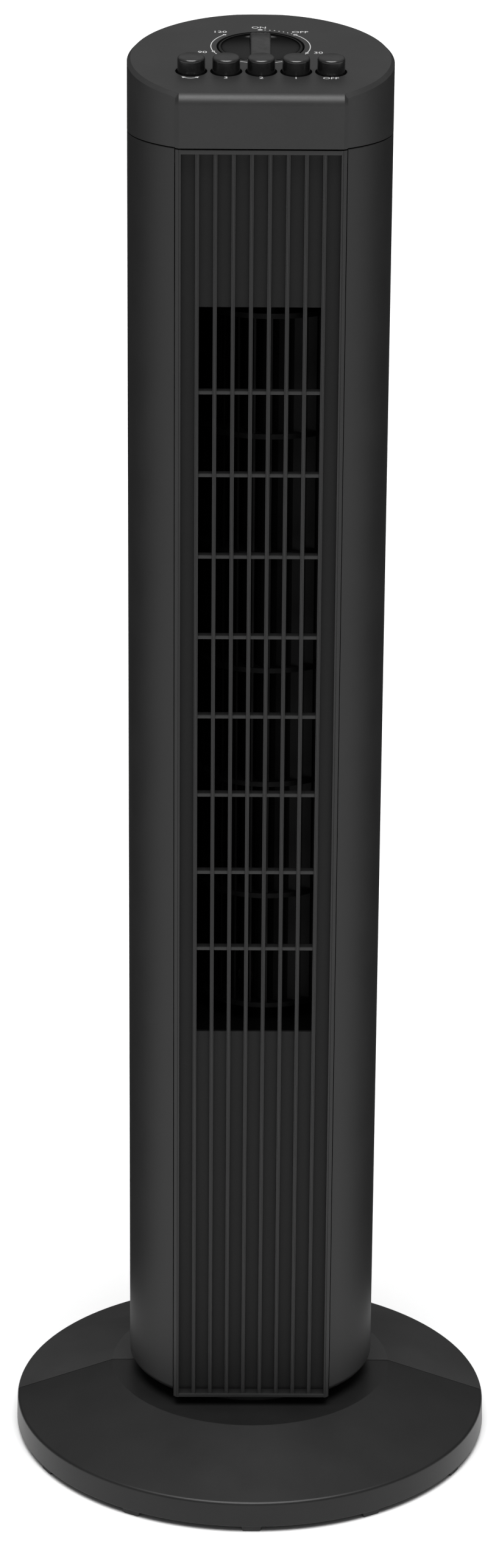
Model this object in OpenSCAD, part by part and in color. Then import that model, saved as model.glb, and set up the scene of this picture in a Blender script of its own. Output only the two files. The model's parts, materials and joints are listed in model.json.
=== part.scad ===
// Tower fan: a cross-flow rotor in a round column that swings on a disc base.
// Millimetres, +Z up, the grille faces -Y. Origin: centre of the base, on the floor.

/* [Base] */
// Diameter of the base disc
base_d = 252; // [200:1:310]
// Diameter of the flat plateau in the middle of the base
plateau_d = 149; // [120:1:180]
// Height of the plateau above the floor
base_h = 34.3; // [30:0.1:45]
// Height of the upright rim band
rim_h = 13.3; // [11:0.1:18]
// Rounding between the rim band and the cone
rim_round = 2; // [1:0.5:3]
// Wall of the base halves
base_t = 2.5; // [2:0.1:3]
// Height of the rubber feet below the rim
foot_h = 3.2; // [2:0.1:5]
// Width of a foot
foot_w = 10.6; // [8:0.2:14]
// Depth of a foot along the radius
foot_l = 8; // [6:0.5:10]
// Bore of the cord gland
cord_bore_d = 6.6; // [5:0.1:8]

/* [Pivot] */
// Diameter of the pivot barrel
barrel_d = 48; // [38:1:60]
// Bore of the pivot barrel, for the wiring
barrel_bore_d = 28; // [20:1:32]
// Diameter of the collar between base and column
collar_d = 94; // [78:1:100]
// Thickness of the collar
collar_t = 4.5; // [3:0.1:6]
// Thickness of the thrust washer
washer_t = 1.9; // [1:0.1:3]
// Swing of the column to each side, in degrees
swing = 35; // [25:1:40]
// Distance from the column's axis to the crank's axis
crank_y = 31; // [29:0.5:33]
// Diameter of the crank pin
crank_pin_d = 4; // [3:0.5:5]

/* [Column] */
// Outside diameter of the column
body_d = 130; // [124:1:160]
// Wall of the shells and of the cap
shell_t = 2.5; // [2:0.1:3]
// Rounding at the bottom edge of the shells
toe_r = 3.5; // [3:0.5:5]
// Height of the seam between the shells and the cap
seam_z = 703; // [580:1:850]
// Blank panel height above the outlet
head_h = 77.4; // [76:0.2:110]
// Blank panel height below the outlet
motor_bay_h = 207.5; // [205:0.5:250]

/* [Grille] */
// Width of the grille panel
panel_w = 82; // [68:0.5:90]
// How far the panel stands out from the edges of the shells
panel_proud = 3.3; // [2:0.1:5]
// How far the panel reaches below the shells
panel_drop = 1.4; // [0:0.1:2]
// Depth of the panel's frame
frame_depth = 8; // [7:0.5:10]
// Width of the panel's side borders
border_w = 2.85; // [2:0.05:4]
// Height of the panel's top and bottom bars
end_bar_h = 2.2; // [1.5:0.1:4]
// Number of upright slats
slat_count = 8; // [6:1:10]
// Thickness of a slat
slat_t = 2; // [1:0.1:2.6]
// Spacing of the cross bars
bar_pitch = 41.4; // [30:0.2:60]
// Height of a cross bar
bar_h = 1.9; // [1.2:0.1:3]
// Depth of the recess in front of the blank plate
recess = 5.6; // [4:0.1:6.5]

/* [Rotor] */
// Diameter of the cross-flow rotor
rotor_d = 74; // [60:1:78]
// Number of rotor segments
segments = 6; // [3:1:8]
// Number of blades round the rotor
blades = 28; // [16:1:36]
// Thickness of a blade
blade_t = 1.1; // [0.8:0.1:1.6]
// Thickness of the rotor discs
disc_t = 2.6; // [2:0.1:4]
// Sideways place of the rotor's axis
rotor_x = 6; // [3:0.5:7]
// Rearward place of the rotor's axis
rotor_y = 4; // [0:0.5:6]
// Wall of the air guide
guide_t = 2; // [1.5:0.1:3]

/* [Motor] */
// Diameter of the motor
motor_d = 82; // [70:1:86]
// Height of the lamination stack
stack_h = 24; // [18:1:32]
// Height of each end shield
shield_h = 14; // [13:1:18]
// Diameter of the motor shaft
shaft_d = 8; // [6:0.5:10]
// Diameter of the stub shaft at the top of the rotor
stub_d = 6; // [5:0.5:8]

/* [Cap and controls] */
// Height of the slanted top above the seam, on the column's axis
cap_h = 35.2; // [34:0.1:45]
// Fall of the top towards the front, in degrees
cap_slope = 10.3; // [6:0.1:13]
// Chamfer along the edge of the top
cap_chamfer = 1.6; // [1:0.1:3]
// Rounding between the top and the front panel
brow_r = 6; // [4:0.5:6]
// Diameter of the timer knob
knob_d = 41.7; // [34:0.1:46]
// Depth of the knob's well
well_depth = 5; // [4:0.1:7]
// Width of the knob's grip bar
grip_w = 10; // [7:0.5:13]
// How far the crown of the grip bar stands above the top
grip_h = 4; // [3:0.5:7]
// Diameter of a push button
button_d = 13.4; // [11:0.1:14]
// Height of a released button above the top
button_h = 7.8; // [6:0.1:10]
// Travel of a button
button_travel = 4; // [2:0.1:4.5]
// Spacing of the buttons
button_pitch = 16.8; // [16.6:0.1:17.6]

/* [Fits] */
// Gap between pieces that are dropped together
gap = 0.3; // [0.2:0.05:0.4]
// Radial clearance of a running fit
run = 0.05; // [0.02:0.01:0.1]

/* [Hidden] */
$fn = 96;

// Fasteners
screw_r = 1.6;
screw_head_r = 3.2;
screw_head_h = 2.4;
screw_slack = 0.1;

// Base
base_r = base_d / 2;
rim_draft = 0.4;
rim_top_z = foot_h + rim_h;
plateau_r = plateau_d / 2;
cone_fall = (base_h - rim_top_z) / (base_r - plateau_r);
foot_angles = [-150, -120, -60, -30, 0, 30, 60, 120, 150];
foot_r = base_r - 1 - foot_l / 2;
foot_stem_r = 2.4;
foot_boss_h = 8;
rib_angles = [15, 45, 75, 105, 135, 165];
rib_t = 2;
tab_x = base_r - 42;
tab_w = 16;
tab_t = 3;
tab_z = 11;
gland_r = cord_bore_d / 2 + 1.8;
gland_z = foot_h + 1 + gland_r;
gland_l = 9;

// Pivot
barrel_r = barrel_d / 2;
barrel_bore_r = barrel_bore_d / 2;
collar_r = collar_d / 2;
collar_top = base_h + collar_t;
washer_top = collar_top + washer_t;
washer_r = collar_r - 3;
barrel_foot_z = 14;
nut_h = 7.5;
nut_r = barrel_r + 11;
nut_grips = 6;

// Column heights
body_z0 = washer_top + gap;
outlet_z0 = body_z0 - panel_drop + motor_bay_h;
outlet_z1 = seam_z - head_h;
outlet_h = outlet_z1 - outlet_z0;
panel_z0 = body_z0 - panel_drop;
panel_z1 = seam_z - 0.4;
body_r = body_d / 2;
inner_r = body_r - shell_t;
split_y = 4;
seam_gap = 0.3;
big = 2 * body_d;

// Grille
panel_half = panel_w / 2;
panel_y = sqrt(body_r * body_r - panel_half * panel_half) + panel_proud;
panel_back_y = panel_y - frame_depth;
slot_half = panel_half + 0.4;
channel_half = panel_half - border_w;
slat_pitch = (2 * channel_half + slat_t) / (slat_count + 1);
outlet_half = slat_pitch * (slat_count - 1) / 2;
slat_inset = 0.3;
plate_t = 2;
plate_y = panel_y - recess;
bar_inset = 1.3;
bar_depth = 5;
bar_count = floor((outlet_h - bar_pitch / 2) / bar_pitch);
ledge_t = 2;
ledge_w = 4;
web_gap = 6;
front_y = panel_back_y - gap - ledge_t - gap;

// Floor of the column
floor_t = 3;
floor_z = body_z0 + shell_t;
floor_r = inner_r - gap;
lip_r = inner_r - 6.5;
hub_h = 21;
hub_top = body_z0 + hub_h;
hub_wall = 6;
ring_z = hub_top + gap;
ring_t = 3;
yoke_z = ring_z + ring_t + 0.7;
yoke_t = 4;

// Oscillation crank and yoke
crank_r = crank_y * sin(swing);
crank_pin_r = crank_pin_d / 2;
crank_z = yoke_z + yoke_t + 1.5;
crank_t = 3;
crank_w = 10;
crank_bore_r = 3.5;
slot_slack = 3.6;
slot_r = crank_pin_r + slot_slack;
yoke_wall = 3.2;
slot_y0 = crank_y - crank_r - 1;
slot_y1 = crank_y + crank_r + 0.5;
bracket_z = crank_z + crank_t + 1.5;
bracket_t = 2;
bracket_r = inner_r - 4.5;
bracket_posts = [[42, 12], [-42, 12], [34, -32], [-34, -32]];
post_r = 5;
osc_motor_r = 24;
osc_motor_h = 18;
osc_ear_x = 29;
osc_motor_z = bracket_z + bracket_t;

// Shell screws
screw_x = body_r - 11;
screw_levels = [body_z0 + 49, (outlet_z0 + outlet_z1) / 2 - 36, seam_z - 43];
boss_r = 4.5;
boss_y0 = -10;
head_seat_y = 13;

// Intake slots in the rear shell
intake_half = body_r * sin(47);
intake_slot_h = 3.2;
intake_pitch = 7.2;
intake_z0 = outlet_z0 + 11;
intake_rows = floor((outlet_h - 22) / intake_pitch);
intake_ribs = [-32, -16, 0, 16, 32];

// Carry handle
handle_half = 36;
handle_h = 32;
handle_z = seam_z - 55;
handle_y = 38 + body_r - 65;
handle_wall = 2;

// Duct and rotor
duct_plate_t = 3;
duct_floor_z = outlet_z0 - 1;
duct_ceiling_z = outlet_z1 + 1.4;
rotor_r = rotor_d / 2;
rotor_z0 = duct_floor_z + 8;
rotor_z1 = duct_ceiling_z - 8;
segment_h = (rotor_z1 - rotor_z0 - disc_t) / segments;
blade_r1 = rotor_r - 0.4;
blade_r0 = rotor_r - 9.5;
blade_sweep = 13;
guide_gap0 = 3.5;
guide_gap1 = 12;
guide_a0 = 110;
guide_a1 = 195;
guide_end_r = inner_r - 4.3;
tongue_a = -35;
tongue_gap = 2.5;
wire_r = 3.5;
wire_place = [-46 - (body_r - 65), -26];
hub_r = 10;
hub_drop = 4;
boss_h = 12;
stub_r = stub_d / 2;
seat_h = 9;
mount_r = stub_r + 10;
bush_r = stub_r + 4;

// Motor
motor_r = motor_d / 2;
shaft_r = shaft_d / 2;
shield_t = 2;
motor_hang = 11;
motor_top = duct_floor_z - duct_plate_t - motor_hang;
stack_top = motor_top - shield_h;
stack_z = stack_top - stack_h;
motor_bottom = stack_z - shield_h;
bearing_r = shaft_r + 5;
bearing_h = 8;
air_gap = 0.4;
core_r = motor_r - 18;
slot_in = core_r + 2.4;
slot_out = motor_r - 5.6;
stator_slots = 16;
stator_slot_w = 4;
winding_h = 9;
motor_screw_r = motor_r - 3.7;
motor_post_r = 4;

// Cap
top_z = seam_z + cap_h;
cap_t = shell_t;
skirt_h = 8;
well_r = knob_d / 2 + 0.75;
knob_y = 16;
button_y = -20;
button_r = button_d / 2;
hole_r = button_r + 1.05;
flange_r = min(hole_r + 0.4, button_pitch / 2 - 0.25);
flange_top = -cap_t - 0.5;
flange_t = 1.2;
stem_r = 2.5;
block_top = flange_top - flange_t - button_travel - 4.2;
block_h = 21;
block_d = 20;
block_half = 2 * button_pitch + 10.4;
ear_l = 8;
stem_end = block_top - 3.5;
spring_wire_r = 0.4;
spring_r = stem_r + 1.6;
spring_turns = 5;
timer_r = 21.5;
timer_top = -well_depth - 5;
timer_h = 22;
timer_shaft_r = 3;
timer_ear_x = well_r + 6.5;
ear_t = 3;
ear_post_r = 3.4;

BLACK = [0.16, 0.16, 0.165];
GRAPHITE = [0.22, 0.22, 0.225];
GLOSS = [0.07, 0.07, 0.075];
STEEL = [0.7, 0.7, 0.72];
COPPER = [0.72, 0.42, 0.22];
BRONZE = [0.62, 0.48, 0.28];
RUBBER = [0.1, 0.1, 0.1];
WHITE = [0.85, 0.85, 0.82];

// ---- helpers ----

// Points of an arc about c, from angle a0 to a1
function arc(c, r, a0, a1, n = 6) =
    [for (i = [0:n]) c + r * [cos(a0 + (a1 - a0) * i / n), sin(a0 + (a1 - a0) * i / n)]];

function polar(r, a) = [r * cos(a), r * sin(a)];

// A tube standing on z = 0
module tube(r_out, r_in, h) {
    difference() {
        cylinder(r = r_out, h = h);
        translate([0, 0, -1]) cylinder(r = r_in, h = h + 2);
    }
}

// A flat wall of thickness t from a to b, with round ends
module wall2d(a, b, t) {
    d = b - a;
    translate(a) rotate(atan2(d[1], d[0])) translate([0, -t / 2]) square([norm(d), t]);
    for (p = [a, b]) translate(p) circle(r = t / 2, $fn = 24);
}

// A screw that points down: head on z = 0, shank below
module screw_down(length) {
    difference() {
        cylinder(r = screw_head_r, h = screw_head_h, $fn = 32);
        for (a = [0, 90]) rotate(a) translate([-1.8, -0.4, screw_head_h - 1]) cube([3.6, 0.8, 2]);
    }
    translate([0, 0, -length]) cylinder(r = screw_r, h = length + 0.1, $fn = 32);
}

// Places children in the frame of the slanted top
module on_top() {
    translate([0, 0, top_z]) rotate([cap_slope, 0, 0]) children();
}

// ---- base ----

// Outline of the base, from the axis to the rim: the outer face moved in by t
function base_line(t) = concat(
    [[base_r - t, rim_top_z - rim_round]],
    arc([base_r - rim_round, rim_top_z - rim_round], max(rim_round - t, 0.1), 0, 90 - atan(cone_fall), 4),
    [[plateau_r, base_h - t]]);

// Solid of the base between its outer face, moved in by t, and the axis; drop lowers its foot
module base_block(t, drop = 0) {
    rotate_extrude($fn = 180) polygon(concat(
        [[base_r + rim_draft - t, foot_h - drop]], base_line(t), [[0, base_h - t], [0, foot_h - drop]]));
}

// One half of the base shell; side is -1 for the front and 1 for the rear
module base_half(side) {
    difference() {
        union() {
            difference() {
                base_block(0);
                base_block(base_t, 1);
            }
            intersection() {
                base_block(base_t / 2);
                union() {
                    for (a = rib_angles) rotate(side * a) translate([nut_r + 6, -rib_t / 2, tab_z])
                        cube([base_r - nut_r - 8, rib_t, base_h]);
                    for (a = foot_angles) rotate(a - 90)
                        translate([foot_r - foot_l / 2, -foot_w / 2, foot_h])
                            cube([foot_l + 1, foot_w, foot_boss_h]);
                    for (x = [-tab_x, tab_x])
                        if (side < 0) translate([x - tab_w / 2, -14, tab_z]) cube([tab_w, 8, base_h]);
                        else translate([x, 7, tab_z + tab_t]) cylinder(r = boss_r, h = base_h, $fn = 32);
                }
            }
        }
        translate([-big, side > 0 ? seam_gap / 2 - big : -seam_gap / 2, -1]) cube([2 * big, big, base_h + 5]);
        translate([0, 0, base_h / 2]) cylinder(r = barrel_r + gap, h = base_h);
        for (a = foot_angles) rotate(a - 90) translate([foot_r, 0, foot_h - 1])
            cylinder(r = foot_stem_r + screw_slack, h = foot_boss_h - 1, $fn = 24);
        if (side > 0) {
            translate([0, base_r - gland_l - 4, gland_z]) rotate([-90, 0, 0]) cylinder(r = gland_r, h = gland_l + 8);
            for (x = [-tab_x, tab_x]) translate([x, 7, tab_z]) cylinder(r = screw_r, h = 13, $fn = 32);
        }
    }
    if (side < 0) for (x = [-tab_x, tab_x]) difference() {
        translate([x - tab_w / 2, -14, tab_z]) cube([tab_w, 27, tab_t]);
        translate([x, 7, tab_z - 1]) cylinder(r = screw_r + screw_slack, h = tab_t + 2, $fn = 32);
    }
}

module base_front() color(BLACK) base_half(-1);
module base_rear() color(BLACK) base_half(1);

module base_feet() color(RUBBER)
    for (a = foot_angles) rotate(a - 90) translate([foot_r, 0, 0]) {
        translate([-foot_l / 2, -foot_w / 2, 0]) cube([foot_l, foot_w, foot_h]);
        translate([0, 0, foot_h - 0.1]) cylinder(r = foot_stem_r, h = foot_boss_h - 3, $fn = 24);
    }

module base_screws() color(STEEL)
    for (x = [-tab_x, tab_x]) translate([x, 7, tab_z]) mirror([0, 0, 1]) screw_down(12);

// Barrel that the column swings on, with the collar that rests on the base
module pivot_column() color(BLACK)
    difference() {
        union() {
            translate([0, 0, barrel_foot_z]) cylinder(r = barrel_r, h = yoke_z - barrel_foot_z);
            translate([0, 0, base_h]) cylinder(r = collar_r, h = collar_t);
        }
        translate([0, 0, barrel_foot_z - 1]) cylinder(r = barrel_bore_r, h = yoke_z);
        for (x = [-1, 1]) translate([x * (barrel_r + barrel_bore_r) / 2, 0, yoke_z - 9])
            cylinder(r = screw_r, h = 10, $fn = 32);
    }

module neck_nut() color(GRAPHITE)
    translate([0, 0, base_h - base_t - nut_h]) difference() {
        cylinder(r = nut_r, h = nut_h);
        translate([0, 0, -1]) cylinder(r = barrel_r + run, h = nut_h + 2);
        for (i = [0:nut_grips - 1]) rotate(i * 360 / nut_grips) translate([nut_r, 0, -1])
            cylinder(r = 4, h = nut_h - 1.5, $fn = 32);
    }

module thrust_washer() color(BLACK)
    translate([0, 0, collar_top]) tube(washer_r, barrel_r + gap, washer_t);

module retaining_ring() color(STEEL)
    translate([0, 0, ring_z]) tube(barrel_r + hub_wall, barrel_r, ring_t);

// Arm on top of the barrel: the crank pin slides in its slot and swings the column
module yoke_arm() color(STEEL)
    translate([0, 0, yoke_z]) difference() {
        linear_extrude(yoke_t) difference() {
            union() {
                circle(r = barrel_r);
                translate([-slot_r - yoke_wall, 0]) square([2 * (slot_r + yoke_wall), slot_y1 - crank_pin_r]);
                translate([0, slot_y1 - crank_pin_r]) circle(r = slot_r + yoke_wall);
            }
            circle(r = barrel_bore_r);
            translate([-slot_r, slot_y0]) square([2 * slot_r, slot_y1 - crank_pin_r - slot_y0]);
            translate([0, slot_y1 - crank_pin_r]) circle(r = slot_r);
        }
        for (x = [-1, 1]) translate([x * (barrel_r + barrel_bore_r) / 2, 0, -1])
            cylinder(r = screw_r + screw_slack, h = yoke_t + 2, $fn = 32);
    }

module yoke_screws() color(STEEL)
    for (x = [-1, 1]) translate([x * (barrel_r + barrel_bore_r) / 2, 0, yoke_z + yoke_t])
        difference() {
            union() {
                cylinder(r = screw_head_r, h = 1.2, $fn = 32);
                translate([0, 0, -yoke_t - 7]) cylinder(r = screw_r, h = yoke_t + 7.1, $fn = 32);
            }
            translate([-1.8, -0.4, 0.6]) cube([3.6, 0.8, 2]);
        }

module cord_gland() color(RUBBER)
    translate([0, base_r - gland_l, gland_z]) rotate([-90, 0, 0]) difference() {
        cylinder(r = gland_r, h = gland_l);
        translate([0, 0, -1]) cylinder(r = cord_bore_d / 2, h = gland_l + 2);
    }

// ---- column shells ----

// The full ring of the shells with the rounded lip at the bottom
module shell_ring() {
    rotate_extrude($fn = 180) polygon(concat(
        [[inner_r, seam_z], [inner_r, floor_z], [lip_r, floor_z], [lip_r, body_z0]],
        arc([body_r - toe_r, body_z0 + toe_r], toe_r, -90, 0, 6),
        [[body_r, seam_z]]));
}

// A thin shelf inside the shells that a plate rests on
module shelf(z) {
    translate([0, 0, z]) difference() {
        cylinder(r = inner_r + 0.5, h = 2);
        translate([0, 0, -1]) cylinder(r = inner_r - 3, h = 4);
    }
}

module front_half_space() translate([-big, -big + split_y - seam_gap / 2, 0]) cube([2 * big, big, seam_z + 1]);
module rear_half_space() translate([-big, split_y + seam_gap / 2, 0]) cube([2 * big, big, seam_z + 1]);

module front_shell() color(GRAPHITE)
    difference() {
        union() {
            difference() {
                intersection() {
                    union() {
                        shell_ring();
                        shelf(duct_floor_z - duct_plate_t - 2);
                        shelf(duct_ceiling_z - 2);
                    }
                    front_half_space();
                }
                translate([-slot_half, -big, 0]) cube([2 * slot_half, big - panel_back_y + gap, seam_z + 1]);
            }
            // return flanges, the ledge behind the grille and the webs behind its blank zones
            intersection() {
                translate([0, 0, body_z0 + shell_t]) cylinder(r = body_r - 0.5, h = seam_z - skirt_h - 1 - floor_z);
                union() {
                    for (s = [-1, 1]) {
                        translate([s > 0 ? slot_half : -slot_half - shell_t, -body_r, 0])
                            cube([shell_t, body_r - front_y - gap, seam_z]);
                        translate([s > 0 ? slot_half - ledge_w : -slot_half - shell_t, -panel_back_y + gap, 0])
                            cube([ledge_w + shell_t, ledge_t, seam_z]);
                    }
                    for (z = [[0, outlet_z0 - web_gap], [outlet_z1 + web_gap, seam_z]])
                        translate([-slot_half, -panel_back_y + gap, z[0]]) cube([2 * slot_half, ledge_t, z[1] - z[0]]);
                }
            }
            // bosses that take the shell screws
            for (x = [-screw_x, screw_x], z = screw_levels)
                translate([x, boss_y0, z]) rotate([-90, 0, 0])
                    cylinder(r = boss_r, h = split_y - seam_gap / 2 - boss_y0, $fn = 32);
            for (s = [-1, 1], z = screw_levels)
                translate([s > 0 ? screw_x : -screw_x - 10, boss_y0, z - 1])
                    cube([10 - shell_t / 2, split_y - seam_gap / 2 - boss_y0, 2]);
        }
        for (x = [-screw_x, screw_x], z = screw_levels)
            translate([x, boss_y0 + 2, z]) rotate([-90, 0, 0])
                cylinder(r = screw_r, h = 20, $fn = 32);
    }

module rear_shell() color(GRAPHITE)
    difference() {
        union() {
            difference() {
                intersection() {
                    union() {
                        shell_ring();
                        shelf(duct_floor_z - duct_plate_t - 2);
                        shelf(duct_ceiling_z - 2);
                    }
                    rear_half_space();
                }
                for (i = [0:intake_rows - 1])
                    translate([-intake_half, body_r / 2, intake_z0 + i * intake_pitch])
                        cube([2 * intake_half, body_r, intake_slot_h]);
            }
            for (a = intake_ribs) rotate(a) translate([-1.2, inner_r - 2, intake_z0 - 4])
                cube([2.4, 4.1, intake_rows * intake_pitch + 6]);
            for (x = [-screw_x, screw_x], z = screw_levels) intersection() {
                translate([x, split_y + seam_gap / 2, z]) rotate([-90, 0, 0])
                    cylinder(r = boss_r, h = body_r, $fn = 32);
                cylinder(r = inner_r + 1, h = seam_z);
            }
            intersection() {
                cylinder(r = inner_r + 1, h = seam_z);
                translate([-handle_half - handle_wall, handle_y - handle_wall, handle_z - handle_wall])
                    cube([2 * (handle_half + handle_wall), body_r, handle_h + 2 * handle_wall]);
            }
        }
        translate([-handle_half, handle_y, handle_z]) cube([2 * handle_half, body_r, handle_h]);
        for (x = [-screw_x, screw_x], z = screw_levels) {
            translate([x, 0, z]) rotate([-90, 0, 0]) cylinder(r = screw_r + screw_slack, h = 20, $fn = 32);
            translate([x, head_seat_y, z]) rotate([-90, 0, 0]) cylinder(r = screw_head_r + 0.4, h = body_r, $fn = 32);
        }
    }

module shell_screws() color(STEEL)
    for (x = [-screw_x, screw_x], z = screw_levels)
        translate([x, head_seat_y, z]) rotate([-90, 0, 0]) screw_down(head_seat_y - boss_y0 - 4);

// Flat panel: frame, slats, cross bars and the blank plate round the outlet
module front_grille() color(GRAPHITE) {
    difference() {
        translate([-panel_half, -panel_y, panel_z0]) cube([panel_w, frame_depth, panel_z1 - panel_z0]);
        translate([-channel_half, -panel_y - 1, panel_z0 + end_bar_h])
            cube([2 * channel_half, frame_depth + 2, panel_z1 - panel_z0 - 2 * end_bar_h]);
    }
    difference() {
        translate([-channel_half - 0.5, -plate_y, panel_z0 + 0.5])
            cube([2 * channel_half + 1, plate_t, panel_z1 - panel_z0 - 1]);
        translate([-outlet_half, -plate_y - 1, outlet_z0]) cube([2 * outlet_half, plate_t + 2, outlet_h]);
    }
    for (i = [0:slat_count - 1])
        translate([(i - (slat_count - 1) / 2) * slat_pitch - slat_t / 2, -panel_y + slat_inset, panel_z0 + 1])
            cube([slat_t, recess + plate_t - slat_inset - 0.1, panel_z1 - panel_z0 - 2]);
    for (i = [1:bar_count])
        translate([-outlet_half, -panel_y + bar_inset, outlet_z1 - i * bar_pitch - bar_h / 2])
            cube([2 * outlet_half, bar_depth, bar_h]);
}

// Bottom plate of the column, with the bearing hub and the posts of the bracket
module body_floor() color(BLACK)
    difference() {
        union() {
            intersection() {
                translate([0, 0, floor_z]) cylinder(r = floor_r, h = floor_t);
                translate([-big, -front_y, 0]) cube([2 * big, big, seam_z]);
            }
            intersection() {
                translate([0, 0, body_z0]) cylinder(r = washer_r, h = floor_t);
                translate([-big, -front_y, 0]) cube([2 * big, big, seam_z]);
            }
            translate([0, 0, body_z0]) cylinder(r = barrel_r + hub_wall, h = hub_h);
            for (p = bracket_posts) translate([p[0], p[1], floor_z])
                cylinder(r = post_r, h = bracket_z - floor_z, $fn = 40);
        }
        translate([0, 0, body_z0 - 1]) cylinder(r = barrel_r + run, h = hub_h + 2);
        for (p = bracket_posts) translate([p[0], p[1], bracket_z - 14]) cylinder(r = screw_r, h = 15, $fn = 32);
    }

// ---- air path ----

// A plate across the column, cut straight behind the grille
module duct_plate(z) {
    difference() {
        intersection() {
            translate([0, 0, z]) cylinder(r = floor_r, h = duct_plate_t);
            translate([-big, -front_y, 0]) cube([2 * big, big, 2 * seam_z]);
        }
        translate([wire_place[0], wire_place[1], z - 1]) cylinder(r = wire_r + gap, h = duct_plate_t + 2, $fn = 32);
    }
}

module duct_floor() color(BLACK)
    difference() {
        union() {
            duct_plate(duct_floor_z - duct_plate_t);
            for (a = [45:90:315]) translate([rotor_x, rotor_y, duct_floor_z - duct_plate_t - motor_hang])
                rotate(a) translate([motor_screw_r, 0, 0]) cylinder(r = motor_post_r, h = motor_hang + 1, $fn = 32);
        }
        translate([rotor_x, rotor_y, duct_floor_z - duct_plate_t - 1])
            cylinder(r = hub_r + 2, h = duct_plate_t + 2);
        for (a = [45:90:315]) translate([rotor_x, rotor_y, motor_top - 1])
            rotate(a) translate([motor_screw_r, 0, 0]) cylinder(r = screw_r, h = 10, $fn = 32);
    }

module duct_ceiling() color(BLACK)
    difference() {
        union() {
            duct_plate(duct_ceiling_z);
            translate([rotor_x, rotor_y, duct_ceiling_z]) cylinder(r = mount_r + 3, h = duct_plate_t + seat_h);
        }
        translate([rotor_x, rotor_y, duct_ceiling_z - 1]) cylinder(r = stub_r + 2, h = 10);
        translate([rotor_x, rotor_y, duct_ceiling_z + duct_plate_t]) cylinder(r = mount_r, h = seat_h + 1);
    }

// Radius of the guide's inner face at angle a, from the rotor's axis
function guide_r(a) = rotor_r + guide_gap0 + (guide_gap1 - guide_gap0) * (a - guide_a0) / (guide_a1 - guide_a0);
function guide_points(off) = [for (i = [0:16]) let (a = guide_a0 + (guide_a1 - guide_a0) * i / 16)
    [rotor_x, rotor_y] + polar(guide_r(a) + off, a)];
guide_mouth = [-outlet_half - 1, -plate_y + plate_t + gap];
guide_tail = polar(guide_end_r, 107);
guide_head = [rotor_x, rotor_y] + polar(guide_r(guide_a0) + guide_t / 2, guide_a0);
guide_foot = [rotor_x, rotor_y] + polar(guide_r(guide_a1) + guide_t / 2, guide_a1);

// Spiral wall that leads the air from behind the rotor to the outlet
module air_guide() color(BLACK)
    translate([0, 0, duct_floor_z]) linear_extrude(duct_ceiling_z - duct_floor_z) {
        polygon(concat(guide_points(guide_t), [for (i = [16:-1:0]) guide_points(0)[i]]));
        wall2d(guide_foot + [0, 1], guide_mouth + [0, guide_t / 2], guide_t * 0.9);
        wall2d(guide_head - [1, 0], guide_tail, guide_t * 0.9);
    }

tongue_tip = [rotor_x, rotor_y] + polar(rotor_r + tongue_gap + guide_t / 2, tongue_a);
tongue_mouth = [outlet_half + 1, -plate_y + plate_t + gap + guide_t / 2];
tongue_tail = polar(guide_end_r, -15);

// Wall that parts the outlet from the intake on the other side of the rotor
module cutoff_tongue() color(BLACK)
    translate([0, 0, duct_floor_z]) linear_extrude(duct_ceiling_z - duct_floor_z) {
        wall2d(tongue_mouth, tongue_tip, guide_t);
        wall2d(tongue_tip, tongue_tail, guide_t);
    }

module at_rotor(z) translate([rotor_x, rotor_y, z]) children();

module top_bearing() color(BRONZE) at_rotor(duct_ceiling_z + duct_plate_t) tube(bush_r, stub_r + run, seat_h - 1);
module bearing_mount() color(RUBBER) at_rotor(duct_ceiling_z + duct_plate_t) tube(mount_r, bush_r, seat_h - 1);

// Outline of one curved blade
function blade_edge(s, side) = let (r = blade_r0 + (blade_r1 - blade_r0) * s)
    polar(r, blade_sweep * s * s + side * blade_t / 2 / r * 180 / PI);

module impeller() color(BLACK) at_rotor(0) difference() {
    union() {
        translate([0, 0, rotor_z0 + 0.5]) linear_extrude(rotor_z1 - rotor_z0 - 1)
            for (i = [0:blades - 1]) rotate(i * 360 / blades)
                polygon(concat([for (s = [0:0.25:1]) blade_edge(s, -1)], [for (s = [1:-0.25:0]) blade_edge(s, 1)]));
        for (i = [0:segments]) translate([0, 0, rotor_z0 + i * segment_h])
            if (i == 0 || i == segments) cylinder(r = rotor_r, h = disc_t);
            else tube(rotor_r, blade_r0 - 2, disc_t);
        translate([0, 0, rotor_z1 - boss_h]) cylinder(r = stub_r + 5, h = boss_h);
    }
    translate([0, 0, rotor_z0 - 1]) cylinder(r = hub_r, h = disc_t + 2);
    translate([0, 0, rotor_z1 - boss_h - 1]) cylinder(r = stub_r, h = boss_h + 2);
}

module impeller_hub() color(GRAPHITE) at_rotor(rotor_z0 - hub_drop) difference() {
    union() {
        cylinder(r = hub_r, h = hub_drop + 16);
        translate([0, 0, hub_drop + disc_t]) cylinder(r = hub_r + 4, h = 2);
    }
    translate([0, 0, -1]) cylinder(r = shaft_r, h = hub_drop + 18);
    translate([0, 0, hub_drop + 11]) rotate([0, 90, 0]) cylinder(r = 2, h = hub_r + 2, $fn = 32);
}

module hub_screw() color(STEEL) at_rotor(rotor_z0 + 11) rotate([0, 90, 0])
    difference() {
        translate([0, 0, shaft_r + 0.05]) cylinder(r = 2, h = hub_r - shaft_r - 0.3, $fn = 32);
        translate([-1.4, -0.35, hub_r - 1.2]) cube([2.8, 0.7, 2]);
    }

module stub_shaft() color(STEEL) at_rotor(rotor_z1 - boss_h)
    cylinder(r = stub_r, h = duct_ceiling_z + duct_plate_t + seat_h - rotor_z1 + boss_h);

// ---- motor ----

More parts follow.
